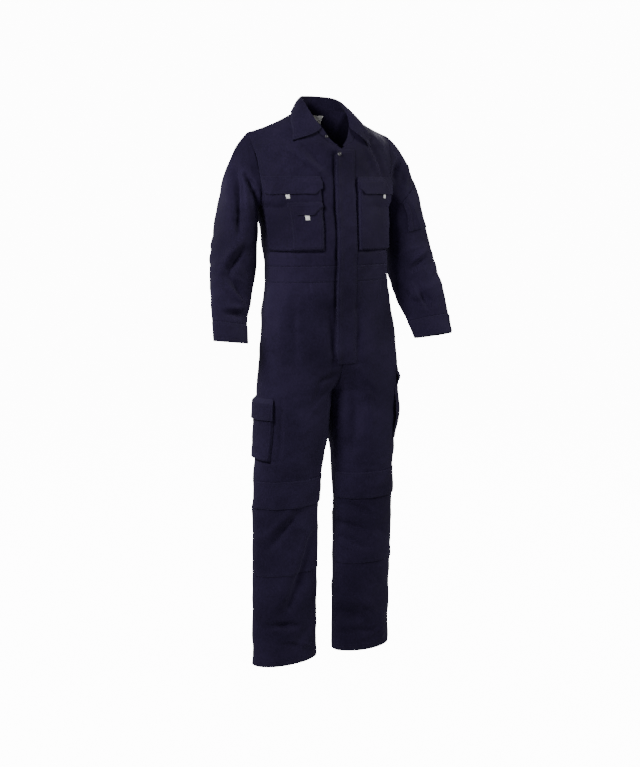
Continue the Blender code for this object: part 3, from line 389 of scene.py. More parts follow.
# %% [markdown]
# ## Measurements of the collar
# A shirt collar is a stand sewn to the neckline and a leaf that turns over the stand's top. Both are
# given by the line where the leaf turns, from centre back round to the front.

# %% Collar
# Collar: the fold line from centre back (share 0) past the neck point (0.5) to the front end (1), and
# how much further out it stands on each side at the front, as the right side falls open
FOLD_LINE = np.array([
    # share, x, y, z
    (0, 0, 52, 43),
    (0.25, 40, 37, 40),
    (0.5, 57, 0, 28),
    (0.625, 56, -36, 2),
    (0.75, 48, -69, -32),
    (0.85, 37, -87, -53),
    (0.92, 24, -99, -78),
    (1, 6, -109, -97),
]) / (1, 1000, 1000, 1000)
FOLD_OUT = {-1: 0.007, 1: 0.0}
COLLAR_END = 0.06
LEAF_END = 0.82
# The leaf's edge: how high up the back it lies, where it crosses the shoulder seam as seen from the
# back and the front, and its points, as positions on the bodice's upper front
LEAF_DROP = 0.86
LEAF_SHOULDER_BACK = {-1: 0.29, 1: 0.262}
LEAF_SHOULDER = {-1: 0.06, 1: 0.025}
LEAF_POINT = {-1: (0.35, 0.24), 1: (0.26, 0.06)}
LEAF_CLEAR = 0.0052
LEAF_BOW = (0.0035, 0.008)
# Near its front ends the leaf rolls forward and down over the stand
LEAF_ROLL = np.array((0.0, -0.009, -0.011))
NECK_BASE = np.array((0.0, 0.0, -0.13))
print("the leaf turns over", FOLD_LINE[0, 3], "m above the neck point")

# %% [markdown]
# ## Folds
# Cloth simulation could crumple the suit, but every fold would then move each time a size changes,
# and the folds here belong to places: under the arm, at the elbow, below the waist, behind the knee.
# So a fold is a row of a table: a line, a width and a height. Near the line the surface moves out or
# in by the height times exp(-(distance / width)^2), and it fades towards the line's two ends.

# %% Large folds
# Folds, each along a line from one end to the other as seen from the front, with the width across it
# and its height. A trough's height is negative.
FRONT_FOLDS = np.array([
    # x0, z0, x1, z1, width, height
    # chest, right and left
    (-152, -79, -68, -163, 18, 4),
    (-163, -106, -122, -166, 16, -3),
    (-86, -87, -67, -137, 15, -2.5),
    (75, -70, 150, -160, 16, 4),
    (110, -70, 180, -148, 16, -3),
    # right sleeve
    (-265, -137, -285, -214, 18, -5),
    (-285, -214, -280, -292, 18, -5),
    (-280, -292, -241, -355, 18, -5),
    (-252, -198, -262, -270, 16, 4),
    (-290, -354, -338, -418, 18, 4),
    (-300, -390, -344, -434, 16, -4),
    (-344, -434, -311, -492, 16, -4),
    (-341, -442, -299, -521, 16, 4),
    # left sleeve
    (215, -170, 256, -124, 16, -4),
    (268, -510, 341, -475, 16, 5),
    (280, -535, 350, -525, 14, -4),
    # hips
    (-153, -474, -177, -703, 18, 5),
    (-137, -476, -164, -660, 18, -5),
    (-30, -591, -36, -685, 15, -3),
    (45, -540, 90, -590, 16, -3),
    (155, -575, 137, -644, 18, -3),
    # thighs
    (-42, -760, -51, -862, 18, 4),
    (54, -821, 37, -977, 20, -5),
    (28, -779, 28, -896, 16, 4),
    # right shin
    (-128, -1094, -171, -1140, 16, 4),
    (-146, -1127, -195, -1185, 18, -4),
    (-68, -1176, -97, -1252, 16, -4),
    (-98, -1309, -154, -1395, 18, -4),
    (-197, -1436, -125, -1435, 16, -4),
    (-58, -1434, -134, -1511, 18, -4),
    # left shin
    (42, -1105, 111, -1143, 16, -4),
    (43, -1201, 88, -1247, 18, 4),
    (49, -1291, 113, -1419, 18, 4),
    (47, -1478, 87, -1478, 16, 4),
    (170, -1462, 172, -1531, 14, 4),
]) / 1000

# The same on the back, in the same directions
BACK_FOLDS = np.array([
    # back
    (-150, -120, -60, -230, 20, 4),
    (150, -130, 70, -240, 20, 4),
    (-120, -330, -40, -400, 18, -4),
    (130, -320, 50, -395, 18, -4),
    # seat
    (-60, -640, -150, -740, 22, -5),
    (60, -640, 150, -740, 22, -5),
    (-120, -480, -130, -600, 18, 4),
    (120, -480, 135, -590, 18, 4),
    # backs of the legs
    (-130, -860, -120, -980, 20, 4),
    (130, -860, 120, -980, 20, 4),
    (-60, -1090, -190, -1130, 18, -5),
    (60, -1100, 190, -1135, 18, -5),
    (-70, -1180, -180, -1160, 16, 4),
    (70, -1185, 185, -1165, 16, 4),
    (-80, -1400, -150, -1450, 18, -4),
    (90, -1390, 160, -1450, 18, -4),
    # elbows
    (-250, -330, -330, -370, 16, -5),
    (250, -330, 330, -365, 16, -5),
    (-265, -420, -340, -400, 16, 4),
    (265, -425, 340, -400, 16, 4),
    (-280, -500, -340, -530, 16, -4),
    (280, -500, 340, -530, 16, -4),
]) / 1000
print(len(FRONT_FOLDS) + len(BACK_FOLDS), "large folds")

# %% [markdown]
# ## Small creases
# Between the large folds, worn cotton keeps small creases that spread from where the cloth bends or
# is gathered. Each family below is a place with a direction, and its creases are scattered round
# that direction with a seeded generator, so that they are the same on every run.

# %% Families of small creases
CREASE_UNITS = (1000, 1000, 1000, 1000, 1, 1, 1, 1000, 1000, 1000)

FRONT_CREASES = np.array([
    # x, z, reach across, reach down, direction, spread, number, length, width, height
    (-175, -235, 30, 45, 60, 28, 6, 60, 6, 1.6),
    (175, -235, 30, 45, 120, 28, 6, 60, 6, 1.6),
    (-120, -120, 45, 30, -50, 14, 4, 80, 7.5, 1.4),
    (120, -120, 45, 30, -130, 14, 4, 80, 7.5, 1.4),
    (-260, -220, 25, 80, 82, 12, 6, 85, 7, 1.7),
    (262, -240, 25, 80, 98, 12, 6, 85, 7, 1.7),
    (-300, -420, 45, 50, -38, 20, 9, 65, 6.5, 2),
    (300, -425, 45, 50, 35, 22, 9, 65, 6.5, 2),
    (-318, -530, 35, 30, -60, 26, 5, 50, 5.5, 1.4),
    (320, -545, 35, 30, 62, 26, 5, 50, 5.5, 1.4),
    (-100, -490, 80, 18, 90, 9, 9, 55, 6, 1.3),
    (110, -490, 75, 18, 90, 9, 9, 55, 6, 1.3),
    (-85, -398, 80, 14, 90, 12, 8, 35, 5.5, 1.1),
    (100, -398, 70, 14, 90, 12, 8, 35, 5.5, 1.1),
    (-55, -770, 45, 45, 62, 22, 7, 85, 7, 1.8),
    (60, -770, 45, 45, 118, 22, 7, 85, 7, 1.8),
    (-130, -985, 70, 22, 8, 16, 4, 70, 7, 1.3),
    (125, -985, 70, 22, -8, 16, 4, 70, 7, 1.3),
    (-130, -1170, 60, 70, -35, 22, 7, 70, 8, 1.6),
    (120, -1170, 60, 70, -38, 22, 7, 70, 8, 1.6),
    (-130, -1390, 60, 80, -42, 24, 7, 80, 8, 1.7),
    (120, -1390, 60, 80, -48, 24, 7, 80, 8, 1.7),
    (-125, -1500, 70, 30, -12, 20, 5, 60, 7.5, 1.5),
    (125, -1500, 70, 30, 14, 20, 5, 60, 7.5, 1.5),
]) / CREASE_UNITS

BACK_CREASES = np.array([
    (-150, -200, 35, 60, 112, 18, 6, 80, 7.5, 1.6),
    (150, -200, 35, 60, 68, 18, 6, 80, 7.5, 1.6),
    (0, -390, 130, 20, 90, 14, 12, 45, 6, 1.3),
    (0, -490, 140, 20, 90, 10, 12, 55, 6, 1.3),
    (-80, -740, 55, 45, 128, 20, 8, 90, 7.5, 1.8),
    (80, -740, 55, 45, 52, 20, 8, 90, 7.5, 1.8),
    (-130, -1110, 70, 50, 6, 16, 10, 80, 6.5, 2.1),
    (130, -1110, 70, 50, -6, 16, 10, 80, 6.5, 2.1),
    (-130, -1450, 60, 60, 38, 20, 7, 70, 8, 1.6),
    (130, -1450, 60, 60, -38, 20, 7, 70, 8, 1.6),
    (-290, -380, 45, 60, 24, 18, 10, 65, 6, 2),
    (290, -380, 45, 60, -24, 18, 10, 65, 6, 2),
]) / CREASE_UNITS
print(len(FRONT_CREASES) + len(BACK_CREASES), "families of creases")

# %% Narrow deep folds
# Deeper folds with a narrow crest or trough, drawn one by one where the cloth bends hardest
DEEP_FOLDS = np.array([
    # x0, z0, x1, z1, width, height
    # right armhole, and the long fold down the upper sleeve
    (-248, -176, -221, -232, 10, -17),
    (-221, -232, -210, -268, 9, -14),
    (-272, -160, -279, -270, 10.5, -16),
    (-279, -270, -290, -345, 11, -12),
    (-292, -165, -300, -280, 13, 6.5),
    # right elbow: two folds that part from its outer side, and the hollow between them
    (-338, -424, -285, -345, 11, 10),
    (-332, -440, -280, -372, 10, -11.5),
    (-336, -452, -284, -522, 9, 9.5),
    (-318, -448, -280, -498, 10, -10),
    (-345, -536, -282, -544, 8, -9.5),
    (-335, -520, -292, -526, 8, 7),
    # right chest
    (-139, -108, -66, -165, 9.5, 6.5),
    (-108, -106, -62, -150, 8.5, -6.1),
    (-200, -106, -152, -150, 9.5, -6.1),
    # left shoulder and left armhole
    (100, -85, 151, -138, 13, -12),
    (151, -138, 170, -190, 12, -9),
    (85, -104, 128, -165, 10, 5.1),
    (262, -110, 222, -176, 10, -12.5),
    (288, -130, 250, -205, 11, 8),
    # left sleeve above the cuff
    (240, -492, 258, -536, 7.5, -8.5),
    (262, -484, 286, -536, 8.5, 7.6),
    (284, -500, 305, -545, 8, -6.8),
    (300, -405, 258, -440, 9, -7.6),
    (305, -385, 262, -418, 9.5, 6.8),
    # left side of the waist and the sleeve beside it, which nearly touch
    (163, -335, 165, -445, 30, 6),
    (232, -345, 240, -450, 22, 6.5),
    # hips and thighs
    (-172, -540, -171, -700, 15, 5.4),
    (-148, -540, -150, -680, 13, -5.8),
    (-40, -540, -24, -680, 12, -6.8),
    (54, -540, 50, -690, 12, -6.8),
    (40, -730, 56, -940, 16, -7.4),
    (88, -700, 96, -920, 19, 4.3),
    (-75, -738, -18, -722, 8, -5.1),
    # knees and lower legs
    (-122, -1100, -205, -1205, 11, -7.5),
    (-142, -1088, -215, -1178, 10, 5.8),
    (-62, -1190, -150, -1400, 20, -11.5),
    (-90, -1170, -175, -1375, 20, 5.7),
    (-199, -1430, -116, -1440, 9, -9.5),
    (38, -1163, 98, -1186, 11.5, -8.5),
    (45, -1206, 104, -1236, 10, -5.8),
    (55, -1104, 105, -1132, 8.5, -5.1),
    (28, -1432, 98, -1450, 18, -12),
    (50, -1398, 120, -1410, 16, 5.4),
    (90, -1492, 140, -1500, 11, -5.4),
    # the panels sink along the edges of the bags, and beside the placket's free edge
    (-62.5, -190, -65.5, -374, 5, -4),
    (-66, -381.5, -190, -381.5, 4.5, -3.5),
    (49, -190, 45, -374, 4.5, -3.5),
    (46, -381.5, 180, -381.5, 4.5, -3),
    (-183.5, -780, -183.5, -952, 4.5, -4),
    (-186, -955.5, -226, -955.5, 4.5, -4),
    (-22.5, -125, -22.5, -400, 5, -6.5),
    (-22.5, -380, -22.5, -670, 5, -6.5),
]) / 1000
print(len(DEEP_FOLDS), "narrow deep folds")

# %% Scattered creases
SCATTER = np.random.RandomState(27)
HALF_UNEVEN = 0.35
WIDTH_UNEVEN = 0.25


def scattered(family):
    """Fold rows of one family: centres and directions drawn evenly about its own."""
    x, z, wide, deep, lean, spread, count, length, width, height = family
    count = int(count)
    drawn = SCATTER.uniform(-1, 1, (count, 5))
    turn = np.radians(lean + spread * drawn[:, 2])
    half = 0.5 * length * (1 + HALF_UNEVEN * drawn[:, 3])
    middle_x = x + wide * drawn[:, 0]
    middle_z = z + deep * drawn[:, 1]
    sign = np.where(np.arange(count) % 2 == 0, 1, -1)
    return np.column_stack((middle_x - half * np.cos(turn), middle_z - half * np.sin(turn),
                            middle_x + half * np.cos(turn), middle_z + half * np.sin(turn),
                            width * (1 + WIDTH_UNEVEN * drawn[:, 4]), height * sign))


def faced(face, *tables):
    """Fold rows with the face they are on in front: -1 for the front and 1 for the back."""
    rows = np.vstack(tables)
    return np.column_stack((np.full(len(rows), face), rows))


ALL_FOLDS = np.vstack((faced(-1, FRONT_FOLDS), faced(1, BACK_FOLDS), faced(-1, DEEP_FOLDS),
                       faced(-1, *map(scattered, FRONT_CREASES)), faced(1, *map(scattered, BACK_CREASES))))
print(len(ALL_FOLDS), "folds with the small creases")

# %% [markdown]
# ## The folds' movement
# Every panel, pocket and flap asks the same function how far its points move, so a pocket follows
# the fold that runs under it. A slow sum of sine waves is added, because no worn cloth is as even as
# a formula.

# %% Moving points by folds and slow waves
WAVES = np.random.RandomState(5).uniform(-1, 1, (9, 4))
WAVE_SIZES = (0.00045, 0.0002)
WAVE_LENGTHS = (0.085, 0.034)
LONG_WAVES = 4
REACHES = 3.0
END_FADE = 0.45
FACING = (-0.005, 0.02)


def slow_waves(points):
    """Sum of sines along nine seeded directions: the first four long, the others short."""
    move = np.zeros(points.shape[:-1])
    for number, (x, y, z, phase) in enumerate(WAVES):
        kind = int(number >= LONG_WAVES)
        way = unit(np.array((x, y, z))) / WAVE_LENGTHS[kind]
        move += WAVE_SIZES[kind] * np.sin(2 * np.pi * (points @ way + phase))
    return move


def folded(points, middle):
    """Points moved out from the middle by each fold that is near: height times
    exp(-(distance / width)^2), on the fold's own face, and by the slow waves."""
    shape = points.shape[:-1]
    flat = points.reshape(-1, 3)
    ahead = (flat - np.broadcast_to(middle, points.shape).reshape(-1, 3))[:, 1]
    move = slow_waves(flat)
    for face, x0, z0, x1, z1, width, height in ALL_FOLDS:
        reach = REACHES * width
        near = np.flatnonzero((flat[:, 0] > min(x0, x1) - reach) & (flat[:, 0] < max(x0, x1) + reach)
                              & (flat[:, 2] > min(z0, z1) - reach) & (flat[:, 2] < max(z0, z1) + reach))
        if not len(near):
            continue
        line = np.array((x1 - x0, z1 - z0))
        away = flat[near][:, (0, 2)] - np.array((x0, z0))
        share = np.clip((away @ line) / (line @ line), 0, 1)
        away = np.linalg.norm(away - share[:, None] * line, axis=-1)
        fade = END_FADE + (1 - END_FADE) * np.sin(np.pi * np.clip(share, 0.06, 0.94))
        facing = ease(face * ahead[near], *FACING)
        move[near] += height * fade * facing * np.exp(-((away / width) ** 2))
    return points + move.reshape(shape)[..., None] * unit(points - middle)


print("one width away a fold has", round(float(np.exp(-1)), 2), "of its height")

# %% [markdown]
# ## The bodice as surfaces
# A surface is a function of two numbers that gives a point. For the bodice they are how far round
# the body a point is and how high. Below the armpit each level is a rounded arc from centre front to
# side seam. Above it the cloth runs from the neckline to the armhole.

# %% Bodice below the neck opening
# How much squarer than an ellipse it is at the armpit, and how flat the chest is, between two heights
SQUARER = 0.25
FLATTER = 2.2
YOKE = (ARMPIT - 0.03, ARMPIT + 0.1)


def measured(z, table, column, low):
    """Measure at a height: below the armpit from the bodice's rows and above it from a table's."""
    return np.where(z > ARMPIT, smooth(table, column, z), smooth(BODICE, low, z))


def width_at(z):
    """Half width of the bodice: the side seam below the armpit and the armhole above it."""
    return measured(z, ARMHOLE, 1, 1)


def bodice(across, z, back=False):
    """Bodice at a height, from -1 at the right side to 1 at the left: a rounded arc."""
    t = np.clip(np.abs(across), 0, 1)
    middle = measured(z, CENTRE, 2, 4) if back else measured(z, CENTRE, 1, 2)
    edge = measured(z, ARMHOLE, 3 if back else 2, 3)
    power = 2 + SQUARER * ease(z, BAND_FOOT, ARMPIT)
    ring = 1 - (1 - t**power) ** (1 / power)
    depth = middle + (edge - middle) * (ring + (t**FLATTER - ring) * ease(z, *YOKE))
    points = stack(across * width_at(z), depth, z)
    return folded(points, stack(0 * across, smooth(BODICE, 3, z), z))


def angle(u):
    """Even steps round an arc, given as its sine."""
    return np.sin(0.5 * np.pi * u)


def front(side, u, z):
    """Front bodice up to the bottom of the neck opening: u is 0 at the centre, 1 at the side."""
    return bodice(side * angle(u), z)


print("side seam at the waist", front(1, 1.0, np.array(BAND_TOP)).round(3))

# %% Front between neckline and armhole
# How the chest gets rounder upwards, and the body's middle, from which the folds move it
LESS_FLAT = 0.7
CHEST_RISE = 0.028
CORE_Y = 0.02
CORE_DROP = 0.05


def front_top(side, u, v):
    """Front above that, between neckline (u = 0) and armhole (u = 1), up to the shoulder seam."""
    z = V_NECK + (SHOULDER_Z - V_NECK) * v
    inner = along(NECKLINE, (0, 1, 2), v)
    outer = stack(smooth(ARMHOLE, 1, z), smooth(ARMHOLE, 2, z), z)
    t = angle(u)
    sag = np.abs(t) ** (FLATTER - LESS_FLAT * v)
    points = inner + (outer - inner) * t[..., None]
    sag = sag + (t - sag) * ease(v, 0.2, 1)
    points[..., 1] = inner[..., 1] + (outer[..., 1] - inner[..., 1]) * sag
    points[..., 2] += np.sin(np.pi * t) * v * (CHEST_RISE * (1 - v) - SHOULDER_DIP)
    points[..., 0] *= side
    share = ease(v, 0, 0.4)
    centre = smooth(BODICE, 3, z)
    core = stack(0 * t, centre + (CORE_Y - centre) * share, points[..., 2] - CORE_DROP * share)
    return folded(points, core)


print("neck point", front_top(1, np.array(0.0), np.array(1.0)).round(3))

# %% Back up to the neck and the shoulder seam
NECK_RISE = 0.008
YOKE_FULLNESS = 0.016


def back_neck(share):
    """Back neckline from centre back (0) to the neck point (1), a quarter of an oval."""
    turn = 0.5 * np.pi * share
    return stack(NECK_HALF * np.sin(turn), NECK_BACK * np.cos(turn), NECK_RISE * np.cos(turn))


def back_top(side, u, v):
    """Back above BACK_TOP, up to the back neck and the shoulder seam."""
    t = angle(u)
    low = bodice(t, BACK_TOP + 0 * t, back=True)
    neck = back_neck(np.clip(t / NECK_SHARE, 0, 1))
    share = np.clip((t - NECK_SHARE) / (1 - NECK_SHARE), 0, 1)
    tip = stack(SHOULDER_HALF + 0 * t, SHOULDER_Y + 0 * t, SHOULDER_Z + 0 * t)
    seam = np.array((NECK_HALF, 0, 0)) * (1 - share[..., None]) + tip * share[..., None]
    seam[..., 2] -= SHOULDER_DIP * np.sin(np.pi * share)
    top = np.where((t < NECK_SHARE)[..., None], neck, seam)
    z = BACK_TOP + (SHOULDER_Z - BACK_TOP) * v
    edge = stack(smooth(ARMHOLE, 1, z), smooth(ARMHOLE, 3, z), z)
    v = v[..., None]
    points = low * (1 - v) + top * v
    armhole_low = np.array([smooth(ARMHOLE, 1, BACK_TOP), smooth(ARMHOLE, 3, BACK_TOP), BACK_TOP])
    straight = armhole_low * (1 - v) + tip * v
    points = points + (edge - straight) * (t[..., None] ** 3)
    points[..., 1] += YOKE_FULLNESS * np.sin(np.pi * v[..., 0]) * (1 - t**3)
    points[..., 0] *= side
    return points


print("centre back neck", back_neck(np.array(0.0)).round(3))

# %% [markdown]
# ## Legs and sleeves as surfaces
# Legs and sleeves are tubes. One number turns round the tube and the other goes down it. The sleeve
# starts on the armhole curve and arrives on its first ellipse along a cubic, which gives the rounded
# sleeve head, and from there it follows the table down to the cuff.

# %% Trouser legs by turn and height
# Heights below the neck where the sideways shift and the spread begin and end, and how far round and
# down a leg keeps to the centre plane
HIPS = 0.7
TO_KNEE = (0.85, 1.11)
KNEE_LOSS = 0.85
LOWER_LEG = (0.8, 1.05)
CENTRE_FROM = 0.86
CENTRE_RUN = 0.03


def hip_shift(z):
    """Sideways shift of the trousers: none at the waist, full at the hips, almost gone at the knee."""
    return HIP_SHIFT * ease(-z, -BAND_FOOT, HIPS) * (1 - KNEE_LOSS * ease(-z, *TO_KNEE))


def leg(side, turn, z):
    """Trouser leg: turn runs from 0 at the side seam through the front (or, below 0, the back) to 1
    (or -1) at the inseam or, above the crotch, at the centre seam. There both legs keep to the centre
    plane, and the folds move them up, down, forwards and back alone."""
    middle, outer, centre = (smooth(TROUSERS, column, z) for column in (1, 2, 3))
    breadth = outer - middle
    below = ease(-z, *LOWER_LEG)
    spread = 1 + (LEG_SPREAD[side] - 1) * below
    depth = np.where(turn > 0, smooth(TROUSERS, 4, z), smooth(TROUSERS, 5, z)) / spread
    reach = 0.5 * np.pi + np.arcsin(np.clip(middle / breadth, 0, 1))
    swing = reach * np.abs(turn)
    x = middle + breadth * spread * np.cos(swing)
    y = centre - np.sign(turn) * depth * np.sin(swing)
    x = np.where(below > 0, x, np.maximum(x, 0))
    plain = stack(side * x, y, z)
    points = folded(plain, stack(side * middle, centre, z))
    centred = ease(np.abs(turn), CENTRE_FROM, 1.0) * ease(z, CROTCH - CENTRE_RUN, CROTCH)
    points[..., 0] += (plain[..., 0] - points[..., 0]) * centred + hip_shift(z)
    return points


print("outside of the right hem", leg(-1, np.array(0.0), np.array(HEM)).round(3))

# %% Armhole, and the ways out of the cloth where sleeve and shoulder meet
# Even steps round the armhole, and how far the seams' directions lean sideways and up
ARMHOLE_EVEN = 0.9
SLEEVE_LEAN = 0.45
SHOULDER_OUT = (0.38, 0.92)


def armhole(side, turn):
    """Armhole at an angle round the arm: 0 at the shoulder tip, +-pi at the armpit, front first."""
    share = np.abs(turn) / np.pi
    z = SHOULDER_Z + (ARMPIT - SHOULDER_Z) * (0.5 - 0.5 * np.cos(np.pi * share**ARMHOLE_EVEN))
    y = np.where(turn > 0, smooth(ARMHOLE, 2, z), smooth(ARMHOLE, 3, z))
    return stack(side * smooth(ARMHOLE, 1, z), y, z)


def armhole_out(side, points):
    """Direction out of the cloth along the armhole seam, halfway between bodice and sleeve."""
    from_centre = unit(points[..., 1:] - ARM_CENTRE)
    return unit(np.concatenate((side * SLEEVE_LEAN * (1 + from_centre[..., 1:]), from_centre), axis=-1))


def shoulder_out(side):
    """Direction out of the cloth along the shoulder seam."""
    return unit(np.array((side * SHOULDER_OUT[0], 0.0, SHOULDER_OUT[1])))


print("armpit", armhole(1, np.array(np.pi)).round(3))

# %% Sleeves by turn and length
# Steps along the arm for its direction, and the directions in which the sleeve head sets out, on top
# and under the arm, and arrives
SECTION_STEP = 0.01
HEAD_STEP = 0.05
HEAD_FALL = -0.8
UNDER_ARM = (0.35, -0.85)
ARRIVING = 1.1
SHOULDER_CORE = (0.2, 0.01, -0.15)


def arm_section(side, turn, v):
    """Section of the sleeve from the upper arm (v = 0) to the cuff's foot (v = 1)."""
    middle = along(SLEEVE, (0, 1, 2), v)
    after = along(SLEEVE, (0, 1, 2), np.clip(v + SECTION_STEP, 0, 1))
    ahead = unit(after - along(SLEEVE, (0, 1, 2), np.clip(v - SECTION_STEP, 0, 1)))
    size = along(SLEEVE, (3, 4, 5), v) * np.array((ARM_BREADTH[side], 1, 1))
    twist = np.radians(size[..., 2])
    across = stack(np.cos(twist), -np.sin(twist), 0 * twist)
    across = unit(across - (across * ahead).sum(-1, keepdims=True) * ahead)
    forward = unit(np.cross(ahead, across))
    forward = forward * -np.sign(forward[..., 1:2])
    points = (middle + size[..., 0:1] * np.cos(turn)[..., None] * across
              + size[..., 1:2] * np.sin(turn)[..., None] * forward)
    lean = CUFF_TILT[side] * size[..., 0] * np.cos(turn) + CUFF_DIP[side] * size[..., 1] * np.sin(turn)
    points[..., 2] -= ARM_DROP[side] * v + ease(v, 0.5, 1) * lean
    mirror = np.array((side, 1, 1))
    return points * mirror, middle * mirror


def sleeve(side, turn, v):
    """Sleeve from the armhole (v = 0) through the upper arm (v = 1) to the cuff's foot (v = 2)."""
    low = np.clip(v, 0, 1)
    lower, lower_middle = arm_section(side, turn, np.clip(v - 1, 0, 1))
    start = armhole(side, turn)
    ring, middle = arm_section(side, turn, 0 * v)
    after = arm_section(side, turn, 0 * v + HEAD_STEP)[0]
    length = np.linalg.norm(ring - start, axis=-1, keepdims=True)
    cap = (0.5 + 0.5 * np.cos(turn))[..., None]
    over = np.array((side * HEAD[side], 0, HEAD_FALL))
    under = np.array((side * UNDER_ARM[0], 0, UNDER_ARM[1]))
    leave = length * (cap * over + (1 - cap) * under)
    arrive = length * ARRIVING * unit(after - ring)
    t = low[..., None]
    points = np.where((v < 1)[..., None], cubic(t, start, ring, leave, arrive), lower)
    shoulder = SHOULDER_CORE * np.array((side, 1, 1))
    centre = np.where((v < 1)[..., None], shoulder * (1 - t) + middle * t, lower_middle)
    return folded(points, centre)


print("foot of the left cuff", sleeve(1, np.array(0.0), np.array(2.0)).round(3))

# %% [markdown]
# ## The collar as surfaces
# The stand is a straight band from the neckline to the fold line. The leaf goes from the fold line to
# an edge that lies on the bodice, and bows out between them, because a turned collar stays round.

# %% Stand and leaf
# Shares of the way round where the fold line opens and where the leaf bows and rolls, and how round
FOLD_OPENS = (0.35, 0.72)
LEAF_RISE = 0.035
BOW_FROM = 0.5
ROLL_FROM = 0.55
ARCH_POWER = 0.75
ROLL_POWER = 0.55


def neck_ring(s):
    """Neckline from centre back (0) to the neck point (0.5) and the collar's end (1), left half."""
    back = back_neck(np.clip(2 * s, 0, 1))
    front_part = along(NECKLINE, (0, 1, 2), 1 - (1 - COLLAR_END) * np.clip(2 * s - 1, 0, 1))
    return np.where((s < 0.5)[..., None], back, front_part)


def collar_fold(s):
    """Top of the stand, where the leaf turns over; s runs from -1, right, to 1, left."""
    near = np.abs(s)
    points = np.stack([smooth(FOLD_LINE, column, near) for column in (1, 2, 3)], axis=-1)
    points[..., 0] += side_of(s, FOLD_OUT) * ease(near, *FOLD_OPENS)
    points[..., 0] *= side_of(s)
    return points


def stand_surface(s, v):
    """Stand between neckline and fold line; s runs from -1, right, to 1, left."""
    foot = neck_ring(np.abs(s))
    foot[..., 0] *= side_of(s)
    return foot + (collar_fold(s) - foot) * v[..., None]


def leaf_edge(side, near):
    """Lower edge of the leaf, lying on the back and the front of the bodice."""
    share = np.clip(2 * near, 0, 1)
    across = side_of(side, LEAF_SHOULDER_BACK) * share
    behind = back_top(side, across, LEAF_DROP + (1 - LEAF_DROP) * share**2)
    share = np.clip((near - 0.5) / (LEAF_END - 0.5), 0, 1)
    tip_u, tip_v = (np.where(side < 0, right, left) for right, left in zip(LEAF_POINT[-1], LEAF_POINT[1]))
    seam_u = side_of(side, LEAF_SHOULDER)
    before = front_top(side, seam_u + (tip_u - seam_u) * share, 1 + (tip_v - 1) * share)
    edge = np.where((near < 0.5)[..., None], behind, before)
    return edge + LEAF_CLEAR * unit(edge - NECK_BASE)


def leaf_surface(s, v):
    """Leaf from the fold line down and out to its edge, with a point at each front end."""
    side = side_of(s)
    near = np.abs(s) * LEAF_END
    top = collar_fold(s * LEAF_END)
    edge = leaf_edge(side, near)
    middle = 0.5 * (top + edge)
    out = unit(middle * np.array((1, 1, 0)) + np.array((0, 0, LEAF_RISE)))
    bow = LEAF_BOW[0] + (LEAF_BOW[1] - LEAF_BOW[0]) * ease(near, BOW_FROM, LEAF_END)
    arch = np.sin(np.pi * np.clip(v, 0, 1) ** ARCH_POWER)
    roll = ease(near, ROLL_FROM, LEAF_END) * np.sin(np.pi * np.clip(v, 0, 1) ** ROLL_POWER)
    v = v[..., None]
    return top * (1 - v) + edge * v + (bow * arch)[..., None] * out + roll[..., None] * LEAF_ROLL


print("centre back of the fold line", collar_fold(np.array(0.0)).round(3))

# %% [markdown]
# ## From a surface to a sheet of cloth
# A sheet is two copies of a surface, one for each face of the cloth, closed round its edges. The
# lines of its grid are a few millimetres apart, and closer beside a seam, because a seam is a groove
# and a raised band less than a finger wide.

# %% Walked distances and grid lines
SAMPLES = 500
SEAM_LINES = np.array((0.0, 0.0012, 0.0028, 0.005, 0.008, 0.0104, 0.0122))


def walked(points, axis):
    """Distance along a grid of points from its first line: the running sum of the steps."""
    step = np.linalg.norm(np.diff(points, axis=axis), axis=-1)
    start = np.zeros_like(np.take(step, [0], axis=axis))
    return np.concatenate((start, np.cumsum(step, axis=axis)), axis=axis)


def lines(curve, start, end, spacing):
    """Values from start to end whose points on a curve are a spacing apart, and closer at both ends."""
    value = np.linspace(start, end, SAMPLES)
    distance = walked(curve(value), 0)
    total = distance[-1]
    near = SEAM_LINES[SEAM_LINES < 0.3 * total]
    inner = np.linspace(0, total, max(3, int(round(total / spacing)) + 1))
    inner = inner[(inner > near[-1] + 0.5 * spacing) & (inner < total - near[-1] - 0.5 * spacing)]
    return np.interp(np.concatenate((near, inner, total - near[::-1])), distance, value)


def grid_of(surface, u, v, spacing, at=(0.5, 0.5)):
    """Grid lines of a surface between its ends, measured along one curve each way."""
    middle_u = u[0] + (u[1] - u[0]) * at[0]
    middle_v = v[0] + (v[1] - v[0]) * at[1]
    return (lines(lambda value: surface(value, middle_v + 0 * value), u[0], u[1], spacing),
            lines(lambda value: surface(middle_u + 0 * value, value), v[0], v[1], spacing))


print("a seam has grid lines at", SEAM_LINES * 1000, "mm")

# %% [markdown]
# ## Seams
# Work clothes are sewn with felled seams: the edges are folded into each other and stitched down
# with two rows. That leaves a groove where the panels meet and a raised band beside it. A hem is
# folded twice and stitched further in, and a pocket or flap has its rows close to its edge. Each
# kind is a row here, and every edge of a sheet has a kind.

# %% Kinds of edge
EDGES = {
    # name: (where the rows of stitching start, depth of the groove, breadth and height of the band)
    "felled": (0.0, 0.0007, 0.011, 0.00035),
    "joined": (None, 0.0007, 0.0, 0.0),
    "banded": (0.0, 0.0007, 0.0, 0.0),
    "hemmed": (0.011, 0.0, 0.02, 0.0005),
    "sewn": (0.0, 0.0, 0.01, 0.0002),
    "bare": (None, 0.0, 0.0, 0.0),
}
ROUNDED = ("hemmed", "sewn", "bare")
NO_STITCH = 1.0
GROOVE_REACH = 0.0016
BAND_START = (0.0006, 0.0022)
BAND_STOP = (-0.0012, 0.0008)


